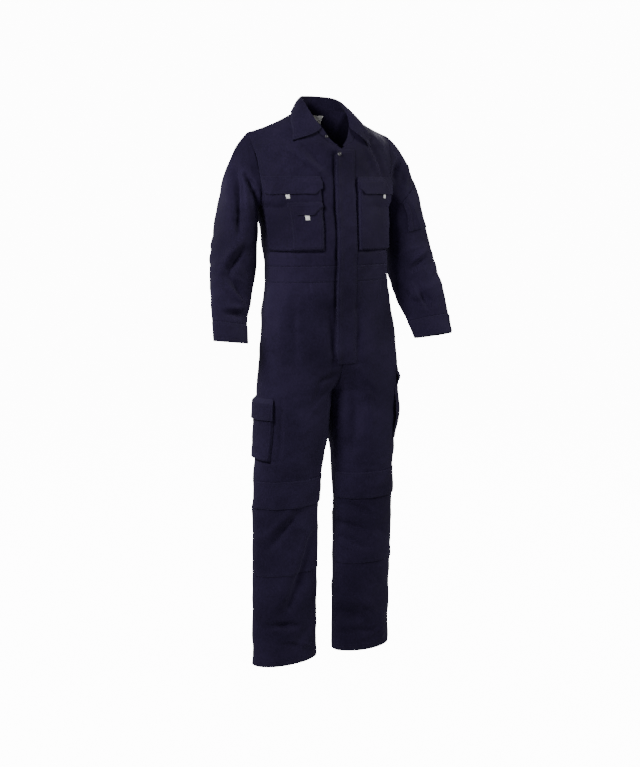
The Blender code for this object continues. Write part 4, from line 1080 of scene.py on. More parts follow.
def edge_form(distances, alongside, kinds):
    """Relief of a sheet and its place from the stitching, out of the distances from its four edges.

    The relief is the sum of -groove * exp(-(d / 1.6 mm)^2) and a band with soft steps. The stitching
    takes the nearest stitched edge: the distance from its first row's edge, and the way along it."""
    relief = np.zeros_like(distances[0])
    nearest = np.full_like(relief, NO_STITCH)
    way = np.zeros_like(relief)
    for distance, beside, kind in zip(distances, alongside, kinds):
        rows, groove, breadth, height = EDGES[kind]
        relief = relief - groove * np.exp(-((distance / GROOVE_REACH) ** 2))
        if breadth:
            inside = ease(distance, *BAND_START) * (1 - ease(distance - breadth, *BAND_STOP))
            relief = relief + height * inside
        if rows is not None:
            closer = distance - rows < nearest
            nearest = np.where(closer, distance - rows, nearest)
            way = np.where(closer, beside, way)
    return relief, nearest, way


print(len(EDGES), "kinds of edge")

# %% [markdown]
# ## Building the sheet
# The outer face is the surface moved along its normal, and the normal comes from the differences
# between neighbouring grid points. A free edge gets one more row halfway round, so that it is round
# like a folded edge. Two UV maps go with the sheet, both in metres: "cloth" for the weave, and
# "stitching" for the seam work.

# %% Mesh from whole arrays
def ring_of(rows, columns, closed):
    """Grid numbers round the border: one loop for a panel, the two ends for a tube."""
    number = np.arange(rows * columns).reshape(rows, columns)
    if closed:
        return [number[:, 0], number[::-1, -1]]
    return [np.concatenate((number[:, 0], number[-1, 1:], number[-2::-1, -1], number[0, -2::-1]))]


def mesh_from(name, points, faces, smooth_faces, maps):
    """Mesh object from vertex places, four-cornered faces and one pair of UV values per corner."""
    mesh = bpy.data.meshes.new(name)
    mesh.vertices.add(len(points))
    mesh.vertices.foreach_set("co", points.astype(np.float32).ravel())
    mesh.loops.add(faces.size)
    mesh.loops.foreach_set("vertex_index", faces.astype(np.int32).ravel())
    mesh.polygons.add(len(faces))
    mesh.polygons.foreach_set("loop_start", np.arange(0, faces.size, 4, dtype=np.int32))
    mesh.polygons.foreach_set("use_smooth", smooth_faces)
    mesh.update(calc_edges=True)
    for label, values in maps.items():
        layer = mesh.uv_layers.new(name=label)
        layer.data.foreach_set("uv", values.astype(np.float32).ravel())
    mesh.validate()
    return put_in_scene(name, mesh)


def grid_normals(points, closed):
    """Unit normals of a grid: the cross product of the differences across and down it."""
    across = np.gradient(points, axis=0)
    if closed:
        across[0] = across[-1] = points[1] - points[-2]
    return unit(np.cross(unit(across), unit(np.gradient(points, axis=1))))


print("a panel's border is", len(ring_of(4, 3, False)), "loop and a tube's", len(ring_of(4, 3, True)))

# %% One sheet of cloth
ROUND_OVER = 0.4 * WALL


def cloth(name, surface, u, v, low, high, kinds, outside, closed=False, seam_out=None, shape=None):
    """Sheet between two offsets of a surface. low and high are the faces' distances out from it,
    shape adds to both over the grid, and seam_out changes the normals where pieces meet at an angle."""
    grid_u, grid_v = np.meshgrid(u, v, indexing="ij")
    points = surface(grid_u, grid_v)
    out = grid_normals(points, closed)
    m, n = len(u) // 2, len(v) // 2
    turned = (out[m, n] * outside(points[m, n])).sum() < 0
    out = -out if turned else out
    if seam_out is not None:
        out = seam_out(points, out)
    across, down = walked(points, 0), walked(points, 1)
    distances = (across, across[-1] - across, down, down[:, -1:] - down)
    relief, nearest, way = edge_form(distances, (down, down, across, across), kinds)
    extra = 0 if shape is None else shape(distances)
    outer = points + out * (high + extra + relief)[..., None]
    inner = points + out * (low + extra + 0 * relief)[..., None]

    rows, columns = len(u), len(v)
    count = rows * columns
    number = np.arange(count).reshape(rows, columns)
    a, b, c, d = number[:-1, :-1], number[1:, :-1], number[1:, 1:], number[:-1, 1:]
    sheet = np.stack((a, b, c, d), axis=-1).reshape(-1, 4)
    rounded = any(kind in ROUNDED for kind in kinds)
    middle = 0.5 * (outer + inner)
    for axis, row, beside, kind in zip((0, 0, 1, 1), (0, -1, 0, -1), (1, -2, 1, -2), kinds):
        if kind in ROUNDED and not (closed and axis == 0):
            edge = np.moveaxis(points, axis, 0)
            np.moveaxis(middle, axis, 0)[row] += ROUND_OVER * unit(edge[row] - edge[beside])
    faces = [sheet, sheet[:, ::-1] + count]
    for loop in ring_of(rows, columns, closed):
        first, second = loop[:-1], loop[1:]
        for start, end in ((0, 2 * count), (2 * count, count)):
            faces.append(np.column_stack((first + start, first + end, second + end, second + start)))
    smooth_faces = np.ones(sum(len(group) for group in faces), bool)
    smooth_faces[2 * len(sheet):] = rounded
    faces = np.vstack(faces)
    if turned:
        faces = faces[:, ::-1]

    corners = faces.ravel()
    spot = corners % count
    if closed:
        wrap = np.arange(3 * count).reshape(3, rows, columns)
        wrap[:, -1] = wrap[:, 0]
        corners = wrap.ravel()[corners]
    used, corners = np.unique(corners, return_inverse=True)
    places = np.concatenate((outer.reshape(-1, 3), inner.reshape(-1, 3), middle.reshape(-1, 3)))[used]
    maps = {"cloth": np.column_stack((across.ravel()[spot], down.ravel()[spot])),
            "stitching": np.column_stack((nearest.ravel()[spot], way.ravel()[spot]))}
    thing = mesh_from(name + "_cloth", places, corners.reshape(-1, 4), smooth_faces, maps)
    return thing

# %% [markdown]
# ## Node groups
# Cloth and labels share the same effects at different scales: a twill weave, stitching beside the
# edges, and the uneven tone of dyed cotton. Each is a node group with named inputs and outputs, so it
# is built once. The groups give out only heights and masks, and each material has its own shader.

# %% Twill weave
TURN = 6.2832
TWO_TURNS = 12.566
RIB = 0.0009


def new_group(name, takes, gives):
    """Empty node group: its inputs by name, and its output node. All it gives are plain numbers."""
    tree = bpy.data.node_groups.new(name, "ShaderNodeTree")
    for label, kind, value in takes:
        socket = tree.interface.new_socket(label, in_out="INPUT", socket_type="NodeSocket" + kind)
        if value is not None:
            socket.default_value = value
    for label in gives:
        tree.interface.new_socket(label, in_out="OUTPUT", socket_type="NodeSocketFloat")
    return tree.nodes.new("NodeGroupInput").outputs, tree.nodes.new("NodeGroupOutput")


def twill_group():
    """Height of a twill: diagonal ribs sin((x + y) / pitch), broken into stitches by the cross threads."""
    takes, gives = new_group("Twill weave", [("Cloth", "Vector", None), ("Rib pitch", "Float", RIB)],
                             ["Height", "Slubs"])
    part = node(gives, "SeparateXYZ", {0: takes["Cloth"]}).outputs
    across = maths("DIVIDE", part[0], takes["Rib pitch"])
    down = maths("DIVIDE", part[1], takes["Rib pitch"])
    rib = maths("SINE", times(plus(across, down), TURN))
    thread = maths("SINE", times(down, TWO_TURNS))
    stretched = node(gives, "Mapping", {"Vector": takes["Cloth"], "Scale": (1400, 55, 1)}).outputs[0]
    return plug(gives, {"Height": plus(plus(times(rib, 0.38), times(thread, 0.12)), 0.5),
                        "Slubs": noise(stretched, 1.0)}).id_data


twill = twill_group()
print(twill.name, len(twill.nodes), "nodes")

# %% Seam work
ROWS = (0.0018, 0.0078)
STITCH = 0.0032
HALF_THREAD = (0.00028, 0.00055)
PULLED_IN = (0.0002, 0.0019)
PUCKER_END = (0.009, 0.024)
WORN_EDGE = (0.0004, 0.003)


def seam_group():
    """Masks and height of the seam work, from the distance d to the edge and the way s along it.

    A row of stitching is where |d - row| is under half a thread, cut into stitches by sin(s). Round a
    row the cloth is pulled in, and between seam and open cloth it puckers along s."""
    takes, gives = new_group("Seam work", [("Stitching", "Vector", None)], ["Thread", "Height", "Wear"])
    away, way, _ = node(gives, "SeparateXYZ", {0: takes["Stitching"]}).outputs
    row = maths("MINIMUM", *(maths("ABSOLUTE", maths("SUBTRACT", away, place)) for place in ROWS))
    beat = maths("SINE", times(way, TURN / STITCH))
    thread = times(ramp(row, *HALF_THREAD, 1, 0), ramp(beat, -0.75, -0.45))
    valley = ramp(row, *PULLED_IN, 1, 0)
    where = node(gives, "CombineXYZ", {0: times(way, 130), 1: times(away, 25)}).outputs[0]
    pucker = noise(where, 1.0, 1.0)
    pull = times(pucker, ramp(away, *PUCKER_END, 1, 0))
    height = plus(maths("SUBTRACT", times(thread, 0.35), times(valley, 0.4)), times(pull, 0.9))
    wear = times(ramp(away, *WORN_EDGE, 1, 0), ramp(pucker, 0.42, 0.68))
    return plug(gives, {"Thread": thread, "Height": height, "Wear": wear}).id_data


seam_work = seam_group()
print(seam_work.name, len(seam_work.nodes), "nodes")

# %% Uneven tone and crumple
def tone_group():
    """Tone of dyed cotton and its fine crumple: broad and narrow noise over the object's own places."""
    takes, gives = new_group("Cotton tone", [("Place", "Vector", None)], ["Tone", "Crumple", "Roughness"])
    place = takes["Place"]
    fine = noise(place, 160.0, 3.0)
    return plug(gives, {"Tone": plus(times(noise(place, 7.0, 3.0), 0.65), times(fine, 0.35)),
                        "Crumple": noise(place, 26.0, 4.0, Roughness=0.55, Distortion=0.7),
                        "Roughness": fine}).id_data


cotton_tone = tone_group()
print(cotton_tone.name, len(cotton_tone.nodes), "nodes")

# %% [markdown]
# ## Navy twill
# Piece-dyed cotton twill is nearly black, with a little violet where light falls on it. It has no
# shine of its own, but its raised fibres catch light at a low angle, which is what the sheen layer
# gives. Stitches are a shade lighter than the cloth, and edges rub pale first.

# %% Navy twill material
NAVY = {
    # darkest and lightest tone of the cloth, its thread, and its rubbed edges
    "deep": (0.0088, 0.0062, 0.0185, 1), "full": (0.0185, 0.0132, 0.037, 1),
    "thread": (0.0215, 0.018, 0.039, 1), "rubbed": (0.025, 0.0215, 0.042, 1),
}
ROUGHNESS_SPREAD = 0.07


def mixed(factor, first, second):
    """Colour between two others."""
    return node(factor, "Mix", {0: factor, 6: first, 7: second}, data_type="RGBA").outputs[2]


def bumped(height, strength, distance, **under):
    """Normal of a Bump node, over another one's normal if it gets one."""
    return node(height, "Bump", {"Height": height, "Strength": strength, "Distance": distance,
                                 **under}).outputs[0]


def cloth_material(name, tones, pitch, roughness, shine):
    """Woven material: tone, stitching and wear in its colour, and three bumps on one another."""
    made, shader = shader_of(name)
    maps = [node(shader, "UVMap", {}, uv_map=label).outputs[0] for label in ("cloth", "stitching")]
    place = node(shader, "TexCoord", {}).outputs["Object"]
    weave = node(shader, "Group", {"Cloth": maps[0], "Rib pitch": pitch}, node_tree=twill).outputs
    seams = node(shader, "Group", {"Stitching": maps[1]}, node_tree=seam_work).outputs
    tone = node(shader, "Group", {"Place": place}, node_tree=cotton_tone).outputs
    shade = plus(times(tone["Tone"], 0.75), times(weave["Slubs"], 0.25))
    colour = mixed(ramp(shade, 0.34, 0.66), tones["deep"], tones["full"])
    colour = mixed(times(seams["Wear"], 0.35), colour, tones["rubbed"])
    colour = mixed(times(seams["Thread"], 0.8), colour, tones["thread"])
    normal = bumped(tone["Crumple"], 0.3, 0.005)
    normal = bumped(seams["Height"], 0.55, 0.001, Normal=normal)
    normal = bumped(weave["Height"], 0.22, 0.0002, Normal=normal)
    rough = ramp(tone["Roughness"], 0.3, 0.7, roughness - ROUGHNESS_SPREAD, roughness + ROUGHNESS_SPREAD)
    plug(shader, {"Base Color": colour, "Roughness": rough, "Normal": normal, **shine})
    print(name, len(made.node_tree.nodes), "nodes")
    return made


SHEEN = {"Specular IOR Level": 0.07, "Sheen Weight": 0.025, "Sheen Roughness": 0.45,
         "Sheen Tint": (0.72, 0.7, 1.0, 1)}
navy = cloth_material("navy_twill", NAVY, RIB, 0.8, SHEEN)

# %% [markdown]
# ## Label tape and press studs
# The labels are white tape, woven finer than the suit, and the studs are pressed nickel that has
# dulled in the hollows and rubbed bright on its rim. The tape uses the same groups at a smaller
# pitch, and the studs get their own noise.

# %% White tape material
WHITE_TAPE = {"deep": (0.62, 0.62, 0.6, 1), "full": (0.84, 0.84, 0.82, 1),
              "thread": (0.55, 0.55, 0.54, 1), "rubbed": (0.7, 0.69, 0.66, 1)}
tape = cloth_material("white_tape", WHITE_TAPE, 0.0004, 0.62, {"Sheen Weight": 0.1})

# %% Dull nickel material
def nickel_material():
    """Metal whose roughness and tone follow two scales of noise, with fine scratches as bump."""
    made, shader = shader_of("dull_nickel")
    place = node(shader, "TexCoord", {}).outputs["Object"]
    dull = noise(place, 420.0, 3.0)
    scratch = noise(node(shader, "Mapping", {"Vector": place, "Scale": (900, 900, 5200)}).outputs[0], 1.0)
    colour = mixed(ramp(dull, 0.35, 0.65), (0.075, 0.072, 0.078, 1), (0.15, 0.145, 0.155, 1))
    plug(shader, {"Base Color": colour, "Roughness": ramp(dull, 0.3, 0.7, 0.52, 0.3), "Metallic": 1.0,
                  "Normal": bumped(scratch, 0.25, 0.0001)})
    return made


nickel = nickel_material()
print(nickel.name, len(nickel.node_tree.nodes), "nodes")

# %% [markdown]
# ## Dressing a node
# Each sheet stands for the solid of the same name, so that solid is hidden. The sheet gets its material and
# hangs from the root body.

# %% Directions out of the garment, and the dressing of a sheet
FINE = 0.003
FINEST = 0.0024
EVEN = 0.0038
WORDS = {-1: "right", 1: "left"}
SIDEWAYS = np.array((1, 1, 0))
BODY_AXIS = np.array((0, -0.02, 0))
LEG_AXIS = np.array((0.12, -0.015, 0))
ARM_AXIS = np.array((0.24, 0, 0))
ARM_SWING = np.array((0.086, -0.09, 0))
ARM_TOP = -0.2
ARM_LENGTH = 0.41


def from_body(point):
    """Outwards from the body's upright middle."""
    return point * SIDEWAYS - BODY_AXIS


def from_leg(side):
    """Outwards from the leg's upright middle."""
    return lambda point: point * SIDEWAYS - LEG_AXIS * (side, 1, 1)


def from_sleeve(side):
    """Outwards from the arm's own middle, which moves out and forward towards the cuff."""
    def outside(point):
        share = np.clip((ARM_TOP - point[2]) / ARM_LENGTH, 0, 1)
        return point * SIDEWAYS - (ARM_AXIS + ARM_SWING * share) * (side, 1, 1)
    return outside


def dress(thing, name, held, rests_on, finish=navy, slot="navy_cloth"):
    """Gives a sheet its finish and its body, and hides the node it stands for."""
    thing.data.materials.append(finish)
    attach(thing, "root")
    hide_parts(name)


def sheet_of(name, surface, u, v, spacing, faces, kinds, outside, held, rests_on, at=(0.5, 0.5),
             looks=(navy, "navy_cloth"), **more):
    """Dressed sheet over a surface between the ends of u and v, with its two faces' offsets."""
    grid = grid_of(surface, u, v, spacing, at)
    dress(cloth(name, surface, *grid, *faces, kinds, outside, **more), name, held, rests_on, *looks)


print("grid lines", EVEN * 1000, "mm apart on panels and", FINE * 1000, "mm on what is sewn on them")

# %% [markdown]
# ## Fronts, back and waistband
# The two fronts and the back carry everything else. Their edges are the same curves, so the seams
# close by themselves. Along shoulder and armhole two panels meet at an angle, and both take the
# direction halfway between them, as a mitre does.

# %% Two fronts
MITRE_START = ARMPIT + 0.004


def upper_share(z, start):
    """How far a height is from a start (0) to the shoulder (1)."""
    return np.clip((z - start) / (SHOULDER_Z - start), 0, 1)


def whole_front(side, u, v):
    """Front below the neck opening, and above it the part between neckline and armhole."""
    return np.where((v <= V_NECK)[..., None], front(side, u, np.minimum(v, V_NECK)),
                    front_top(side, u, upper_share(v, V_NECK)))


def mitred_armhole(side, points, out, row):
    """Turns the normals of a side seam's upper part halfway to the sleeve."""
    above = points[row, :, 2] > MITRE_START
    out[row, above] = armhole_out(side, points[row, above])
    return out


def front_mitre(side, points, out):
    out[:, -1] = shoulder_out(side)
    return mitred_armhole(side, points, out, -1)


for side, word in WORDS.items():
    sheet_of("front_" + word, partial(whole_front, side), (0, 1), (BAND_TOP, SHOULDER_Z), FINE,
             (-WALL, 0.0), ("joined", "felled", "joined", "felled"), from_body, "hung", ["back"],
             seam_out=partial(front_mitre, side))

# %% Back
def whole_back(u, v):
    """Back below its top part, and the part that rises to the neck and the shoulder seams."""
    return np.where((v <= BACK_TOP)[..., None], bodice(angle(u), np.minimum(v, BACK_TOP), back=True),
                    back_top(side_of(u), np.abs(u), upper_share(v, BACK_TOP)))


def back_mitre(points, out):
    for row, side in ((0, -1), (-1, 1)):
        out[side * points[:, -1, 0] >= NECK_HALF - 1e-4, -1] = shoulder_out(side)
        out = mitred_armhole(side, points, out, row)
    return out


u, v = grid_of(whole_back, (-1, 1), (BAND_TOP, SHOULDER_Z), EVEN)
corner = 2 / np.pi * np.arcsin(NECK_SHARE)
for place in (-corner, corner):
    u[np.argmin(np.abs(u - place))] = place
dress(cloth("back", whole_back, u, v, -WALL, 0.0, ("joined",) * 4, from_body, seam_out=back_mitre),
      "back", "hung", ["front_right", "front_left"])

# %% Waistband in three pieces
BAND_LIFT = 0.0004


def band_back(u, v):
    """Back bodice in even steps round its arc."""
    return bodice(angle(u), v, back=True)


for word, surface, start, carrier in (("right", partial(front, -1), 0, "front_right"),
                                      ("left", partial(front, 1), 0, "front_left"),
                                      ("back", band_back, -1, "back")):
    sheet_of("waistband_" + word, surface, (start, 1), (BAND_FOOT, BAND_TOP), FINE, (-WALL, BAND_LIFT),
             ("joined", "joined", "banded", "banded"), from_body, "stretched", [carrier])

# %% [markdown]
# ## Trousers
# Four panels: a front and a back for each leg. The outside seam is stitched on the back panel and
# the inseam on the front one, and each hem is turned up and stitched.

# %% Four leg panels
LEG_MEASURED = (0.5, 0.35)

for side, word in WORDS.items():
    for half, end, edges in (("front", 1.0, ("joined", "felled")), ("back", -1.0, ("felled", "joined"))):
        sheet_of("leg_" + half + "_" + word, partial(leg, side), (1e-6 * end, end), (BAND_FOOT, HEM), EVEN,
                 (-WALL, 0.0), (*edges, "joined", "hemmed"), from_leg(side), "hung",
                 ["waistband_" + (word if half == "front" else "back")], at=LEG_MEASURED)

# %% [markdown]
# ## Sleeves and cuffs
# Each sleeve is one panel closed under the arm, so its grid wraps round and its first and last lines
# share their points. The cuff is a double band over the sleeve's end.

# %% Sleeves and cuffs
CUFF_LIFT = 0.0012
ROUND = (-np.pi, np.pi)
ARM_MEASURED = (0.5, 0.6)


def sleeve_mitre(side, points, out):
    out[:, 0] = armhole_out(side, points[:, 0])
    return out


for side, word in WORDS.items():
    sheet_of("sleeve_" + word, partial(sleeve, side), ROUND, (0, CUFF_START), EVEN, (-WALL, 0.0),
             ("felled", "joined", "joined", "joined"), from_sleeve(side), "hung", ["front_" + word, "back"],
             at=ARM_MEASURED, closed=True, seam_out=partial(sleeve_mitre, side))

for side, word in WORDS.items():
    sheet_of("cuff_" + word, partial(sleeve, side), ROUND, (CUFF_START, 2), FINE, (-WALL, CUFF_LIFT),
             ("joined", "joined", "banded", "sewn"), from_sleeve(side), "folded", ["sleeve_" + word],
             closed=True)

# %% Pieces that are sewn on a panel
PANEL_BREADTH = 0.24
FLAP_CORNER = 0.017
PEN_CORNER = 0.021


def placed(surface, start, end, top, foot, corner):
    """Stretch of a panel between two sides, top and foot, as s and t from 0 to 1. Over the last
    corner of its height the sides run in by as much, which cuts the corners off."""
    height = abs(foot - top)
    reach = end - start

    def patch(s, t):
        inward = np.clip((t * height - (height - corner)) / max(corner, 1e-6), 0, 1) * (corner > 0)
        share = corner / PANEL_BREADTH * np.sign(reach)
        return surface(start + share * inward + (reach - 2 * share * inward) * s, top + (foot - top) * t)
    return patch


def sewn_on(name, surface, area, over, outside, rests_on, held="hung", corner=0.0, thick=WALL, **more):
    """Sheet over a stretch of a panel and of what lies on it, stitched round its edge."""
    low = over + SEWN_ON
    sheet_of(name, placed(surface, *area, corner), (0, 1), (0, 1), FINE, (low, low + thick), ("sewn",) * 4,
             outside, held, rests_on, **more)


print("a flap's corners are cut over a height of", FLAP_CORNER * 1000, "mm")

# %% Tab on the left cuff
CUFF_TAB = (-0.3, 0.42, 1.835, 1.985)

left_sleeve = partial(sleeve, 1)
sewn_on("cuff_tab", left_sleeve, CUFF_TAB, CUFF_LIFT, from_sleeve(1), ["cuff_left"], held="laid")

# %% [markdown]
# ## Collar
# The stand holds the collar up, and the leaf turns over it and lies on the shoulders. Both are single
# sheets here, with the leaf's rows of stitching along its three free edges.

# %% Collar stand and leaf
sheet_of("collar_stand", stand_surface, (-1, 1), (0, 1), FINE, (-WALL, 0.0),
         ("bare", "bare", "joined", "bare"), from_body, "folded", ["front_right", "front_left", "back"])
sheet_of("collar_leaf", leaf_surface, (-1, 1), (0, 1), FINEST, (0.0, WALL),
         ("sewn", "sewn", "bare", "sewn"), from_body, "folded", ["collar_stand"])

# %% [markdown]
# ## Chest pockets
# Each chest pocket is a bag with a flap over its mouth, and the right one carries a smaller bag for
# pens. A filled pocket lies flat where it is stitched and swells inside that, so the bag's distance
# from the panel is a soft step of the distance from its edge.

# %% Bags and flaps
FLAP_FLARE = 0.3
FLAP_WAVE = 0.0005
FLAP_WAVE_LENGTH = 0.061
BAG_RISE = (0.0006, 0.004)


def bag(name, surface, area, over, bellows, outside, rests_on):
    """Bag sewn down all round: it rises from the panel by a soft step over its first 4 mm."""
    def swell(distances):
        return (bellows - WALL) * ease(np.minimum.reduce(distances), *BAG_RISE)
    sewn_on(name, surface, area, over, outside, rests_on, shape=swell)


def flap(name, surface, area, over, stand, outside, rests_on, hinge=0.34, corner=0.0):
    """Flap sewn down along its top: it rises by a soft step over its hinge, and its free edge flares
    and waves."""
    def rise(distances):
        share = distances[2] / (distances[2] + distances[3])
        wave = np.sin(2 * np.pi * distances[0] / FLAP_WAVE_LENGTH + 0.8)
        return stand * (ease(share, 0, hinge) + FLAP_FLARE * share**3) + FLAP_WAVE * wave * share**2
    sewn_on(name, surface, area, over, outside, rests_on, shape=rise, corner=corner)


print("a bag stands free", BAG_RISE[1] * 1000, "mm inside its edge")

# %% Chest pockets and flaps
# An area is start and end, how far round from centre front (0) to side seam (1), and top and foot
CHEST_BAG = np.array((0.2, 0.89, -0.2, -0.378))
CHEST_FLAP = np.array((0.19, 0.905, -0.18, -0.227))
CHEST_BELLOWS = 0.0065
CHEST_STAND = 0.0072
# The left chest pocket starts nearer the placket
CHEST_SHIFT = {-1: 0.012, 1: -0.032}

for side, word in WORDS.items():
    panel, shift = partial(front, side), np.array((CHEST_SHIFT[side], 0, 0, 0))
    bag("chest_bag_" + word, panel, CHEST_BAG + shift, SEWN_ON, CHEST_BELLOWS, from_body, ["front_" + word])
    flap("chest_flap_" + word, panel, CHEST_FLAP + shift, SEWN_ON, CHEST_STAND, from_body,
         ["front_" + word], corner=FLAP_CORNER)

# %% Pen pocket on the right chest pocket
ON_CHEST_BAG = SEWN_ON + CHEST_BELLOWS + SEWN_ON
PEN_BAG = (0.237, 0.54, -0.254, -0.373)
PEN_FLAP = (0.225, 0.552, -0.248, -0.284)
PEN_BELLOWS = 0.0022
PEN_STAND = 0.0031

right_front = partial(front, -1)
bag("pen_bag", right_front, PEN_BAG, ON_CHEST_BAG, PEN_BELLOWS, from_body, ["chest_bag_right"])
flap("pen_flap", right_front, PEN_FLAP, ON_CHEST_BAG, PEN_STAND, from_body, ["pen_bag"], hinge=0.26,
     corner=PEN_CORNER)

# %% White tabs under the flaps
TABS = {
    # name: (side, start, end, top, foot, what it lies over, what it is sewn on)
    "tab_chest_right": (-1, 0.5185, 0.5612, -0.2275, -0.238, ON_CHEST_BAG, "chest_bag_right"),
    "tab_pen": (-1, 0.35, 0.3885, -0.284, -0.2955, 0.0094, "pen_bag"),
    "tab_chest_left": (1, 0.508, 0.5505, -0.2275, -0.238, ON_CHEST_BAG, "chest_bag_left"),
}
TAPE = 0.0004
LABEL = (tape, "label_white")

for name, (side, *area, over, carrier) in TABS.items():
    sewn_on(name, partial(front, side), area, over, from_body, [carrier], thick=TAPE, looks=LABEL)

# %% [markdown]
# ## Placket
# The left front closes over the right one with a hidden fly. What shows is a strip as wide as two
# fingers, from the neck opening over the waistband to the crotch, whose free edge stands a little
# proud and throws the long dark line down the front.

# %% Front strip and placket
PLACKET_EDGE = -0.018
PLACKET_FAR = 0.04
PLACKET_TOP = -0.108
PLACKET_FOOT = -0.69
PLACKET_LIFT = 0.0005
FREE_EDGE = 0.0052
FREE_BREADTH = 0.018
FREE_WAVE_LENGTH = 0.13


def front_strip(x, z):
    """Front of the whole suit by x and height, from the neck opening down to the crotch."""
    side = side_of(x)
    u = np.arcsin(np.clip(np.abs(x) / width_at(z), 0, 1)) * 2 / np.pi
    upper = front(side, u, np.maximum(z, BAND_FOOT))
    low = np.minimum(z, BAND_FOOT)
    middle, outer, centre, depth = (smooth(TROUSERS, column, low) for column in (1, 2, 3, 4))
    share = np.clip((np.abs(x) - middle) / (outer - middle), -1, 1)
    lower = folded(stack(x, centre - depth * np.sqrt(1 - share**2), low), stack(side * middle, centre, low))
    lower[..., 0] += hip_shift(low)
    return np.where((z > BAND_FOOT)[..., None], upper, lower)


def standing_edge(distances):
    """The free edge stands out, by one minus a soft step of the distance from it."""
    wave = 0.7 + 0.3 * np.sin(2 * np.pi * distances[2] / FREE_WAVE_LENGTH)
    return FREE_EDGE * wave * (1 - ease(distances[0], 0.0, FREE_BREADTH))


sheet_of("placket", front_strip, (PLACKET_EDGE, PLACKET_FAR), (PLACKET_TOP, PLACKET_FOOT), FINE,
         (PLACKET_LIFT, PLACKET_LIFT + WALL), ("sewn",) * 4, from_body, "hung", ["front_left"],
         shape=standing_edge)

# %% [markdown]
# ## Thigh and knee pieces
# The right thigh has a cargo pocket with bellows and a flap. Both knees have a pad pocket that is
# closed by a shallow flap, and the left thigh has two straps that stand out for tools.

# %% Cargo pocket and knee pads
# How far above a leg panel the pieces on it lie. A sheet sewn on adds SEWN_ON to that by itself.
LEG_LIFT = 0.0005
KNEE_BAG = (0.035, 0.965, -1.079, -1.284)
KNEE_FLAP = (0.035, 0.965, -1.012, -1.088)
KNEE_STAND = 0.0023
CARGO_BAG = (0.205, -0.24, -0.792, -0.952)
CARGO_FLAP = (0.205, -0.24, -0.778, -0.836)
CARGO_BELLOWS = 0.009
CARGO_STAND = 0.0098

for side, word in WORDS.items():
    panel, out, carrier = partial(leg, side), from_leg(side), ["leg_front_" + word]
    sewn_on("knee_bag_" + word, panel, KNEE_BAG, LEG_LIFT - SEWN_ON, out, carrier)
    flap("knee_flap_" + word, panel, KNEE_FLAP, LEG_LIFT, KNEE_STAND, out, carrier, hinge=0.6)

panel, out, carriers = partial(leg, -1), from_leg(-1), ["leg_front_right", "leg_back_right"]
bag("cargo_bag", panel, CARGO_BAG, LEG_LIFT, CARGO_BELLOWS, out, carriers)
flap("cargo_flap", panel, CARGO_FLAP, LEG_LIFT, CARGO_STAND, out, carriers, hinge=0.22)

# %% Hammer loop and tool strap
STRAPS = {
    # name: (start, end, top, foot, how far it stands out)
    "hammer_loop": (0.26, 0.035, -0.722, -0.77, 0.0054),
    "tool_strap": (0.27, 0.022, -0.775, -0.922, 0.0068),
}
STRAP_ENDS = 0.01

for name, (*area, stand) in STRAPS.items():
    def arch(distances, stand=stand, ends=STRAP_ENDS / abs(area[3] - area[2])):
        share = distances[2] / (distances[2] + distances[3])
        return stand * np.sin(np.pi * np.clip((share - ends) / (1 - 2 * ends), 0, 1))
    sewn_on(name, partial(leg, 1), area, 0, from_leg(1), ["leg_front_left"], shape=arch)

# %% Pen pocket on the left sleeve
SLEEVE_POCKET = (-0.3142, 1.885, 0.57, 1.1)
SLEEVE_PEN = (1.66, 1.885, 0.63, 1.1)

sewn_on("sleeve_pocket", left_sleeve, SLEEVE_POCKET, 0, from_sleeve(1), ["sleeve_left"])
sewn_on("sleeve_pen_strip", left_sleeve, SLEEVE_PEN, SEWN_ON + WALL, from_sleeve(1), ["sleeve_pocket"])

# %% [markdown]
# ## Labels and press studs
# Two bare tapes are sewn inside the back neck. A press stud is a turned shape, so its outline is a
# short profile carried round an axis, with a rim, a dished middle and a rounded boss.

# %% Neck labels
INSIDE = -WALL - SEWN_ON
NECK_LABELS = {
    # name: (start, end, foot, top)
    "neck_label": (-0.1, 0.1, 0.73, 0.86),
    "size_label": (0.0, 0.1, 0.52, 0.72),
}


def inside_neck(u, v):
    """Back above BACK_TOP, for both sides at once: u is negative on the right."""
    return back_top(side_of(u), np.abs(u), v)


for name, (start, end, foot, top) in NECK_LABELS.items():
    sheet_of(name, inside_neck, (start, end), (foot, top), FINEST, (INSIDE - TAPE, INSIDE), ("sewn",) * 4,
             from_body, "hung", ["back"], looks=LABEL)

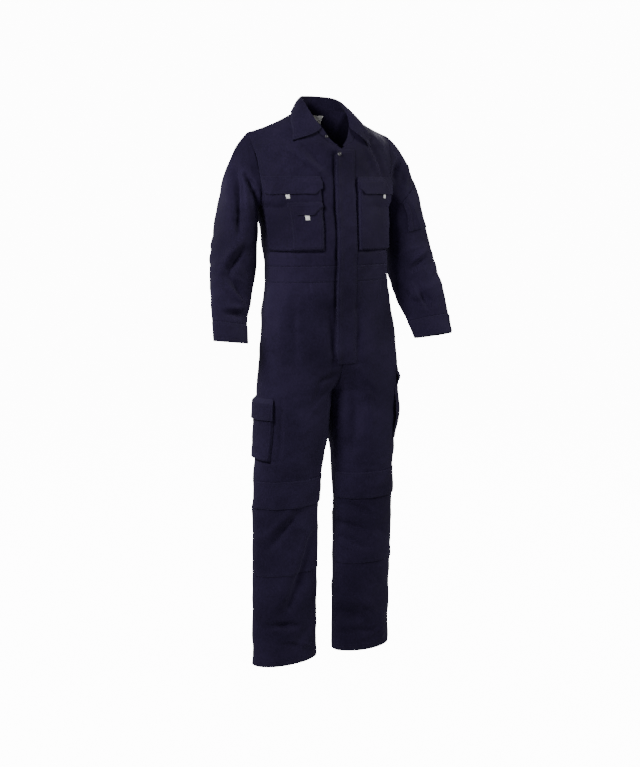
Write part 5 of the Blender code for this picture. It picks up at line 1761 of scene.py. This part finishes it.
# %% Press studs
STUD_SIZE = (0.0055, 0.003)
SMALL_STUD_SIZE = (0.0045, 0.002)
STUD_X = -0.011
STUD_Z = -0.12
STUD_SHARE = 0.88
STUD_PROFILE = np.array([
    # share of the radius, share of the height, from the rim's foot to the middle
    (0.94, 0), (1, 0.18), (1, 0.46), (0.96, 0.7), (0.88, 0.84), (0.78, 0.82), (0.7, 0.66),
    (0.58, 0.58), (0.46, 0.64), (0.38, 0.86), (0.26, 0.98), (0.12, 1), (0.0001, 1),
])
STUD_SIDES = 40


def stud(name, centre, axis, size):
    """Profile turned about an axis: centre + r cos(a) side + r sin(a) up + h axis."""
    axis = unit(np.asarray(axis, float))
    side = unit(np.cross(axis, (0.0, 0.0, 1.0)))
    turn = np.linspace(0, 2 * np.pi, STUD_SIDES + 1)
    spoke = np.cos(turn)[:, None] * side + np.sin(turn)[:, None] * np.cross(axis, side)
    radius, height = (STUD_PROFILE * size).T[..., None, None]
    points = centre + radius * spoke + height * axis
    number = np.arange(len(points) * STUD_SIDES).reshape(len(points), STUD_SIDES)
    number = np.hstack((number, number[:, :1]))
    faces = np.stack((number[:-1, :-1], number[:-1, 1:], number[1:, 1:], number[1:, :-1]), axis=-1)
    mesh = bpy.data.meshes.new(name + "_cap")
    mesh.from_pydata(points[:, :-1].reshape(-1, 3).tolist(), [],
                     faces.reshape(-1, 4).tolist() + [number[0, -2::-1].tolist(), number[-1, :-1].tolist()])
    mesh.update()
    mesh.shade_smooth()
    mesh.materials.append(nickel)
    thing = put_in_scene(name + "_cap", mesh)
    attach(thing, "root")
    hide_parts(name)
    print(name, len(mesh.polygons), "faces")


at = front_strip(np.array([STUD_X]), np.array([STUD_Z]))[0]
lift = PLACKET_LIFT + WALL + float(standing_edge((STUD_X - PLACKET_EDGE, None, PLACKET_TOP - STUD_Z)))
stud("stud_top", at - np.array((0, lift, 0)), (0, -1, 0.1), STUD_SIZE)

# %% Studs on the ends of the stand
COLLAR_STUDS = {"stud_collar_right": (-STUD_SHARE, SEWN_ON), "stud_collar_left": (STUD_SHARE, INSIDE)}

for name, (s, lift) in COLLAR_STUDS.items():
    near = stand_surface(np.array([[s, s], [s + 0.01, s + 0.01]]), np.array([[0.5, 0.52], [0.5, 0.52]]))
    out = unit(np.cross(near[1, 0] - near[0, 0], near[0, 1] - near[0, 0]))
    out = out if (out * from_body(near[0, 0])).sum() > 0 else -out
    stud(name, near[0, 0] + lift * out, np.sign(lift) * out, SMALL_STUD_SIZE)
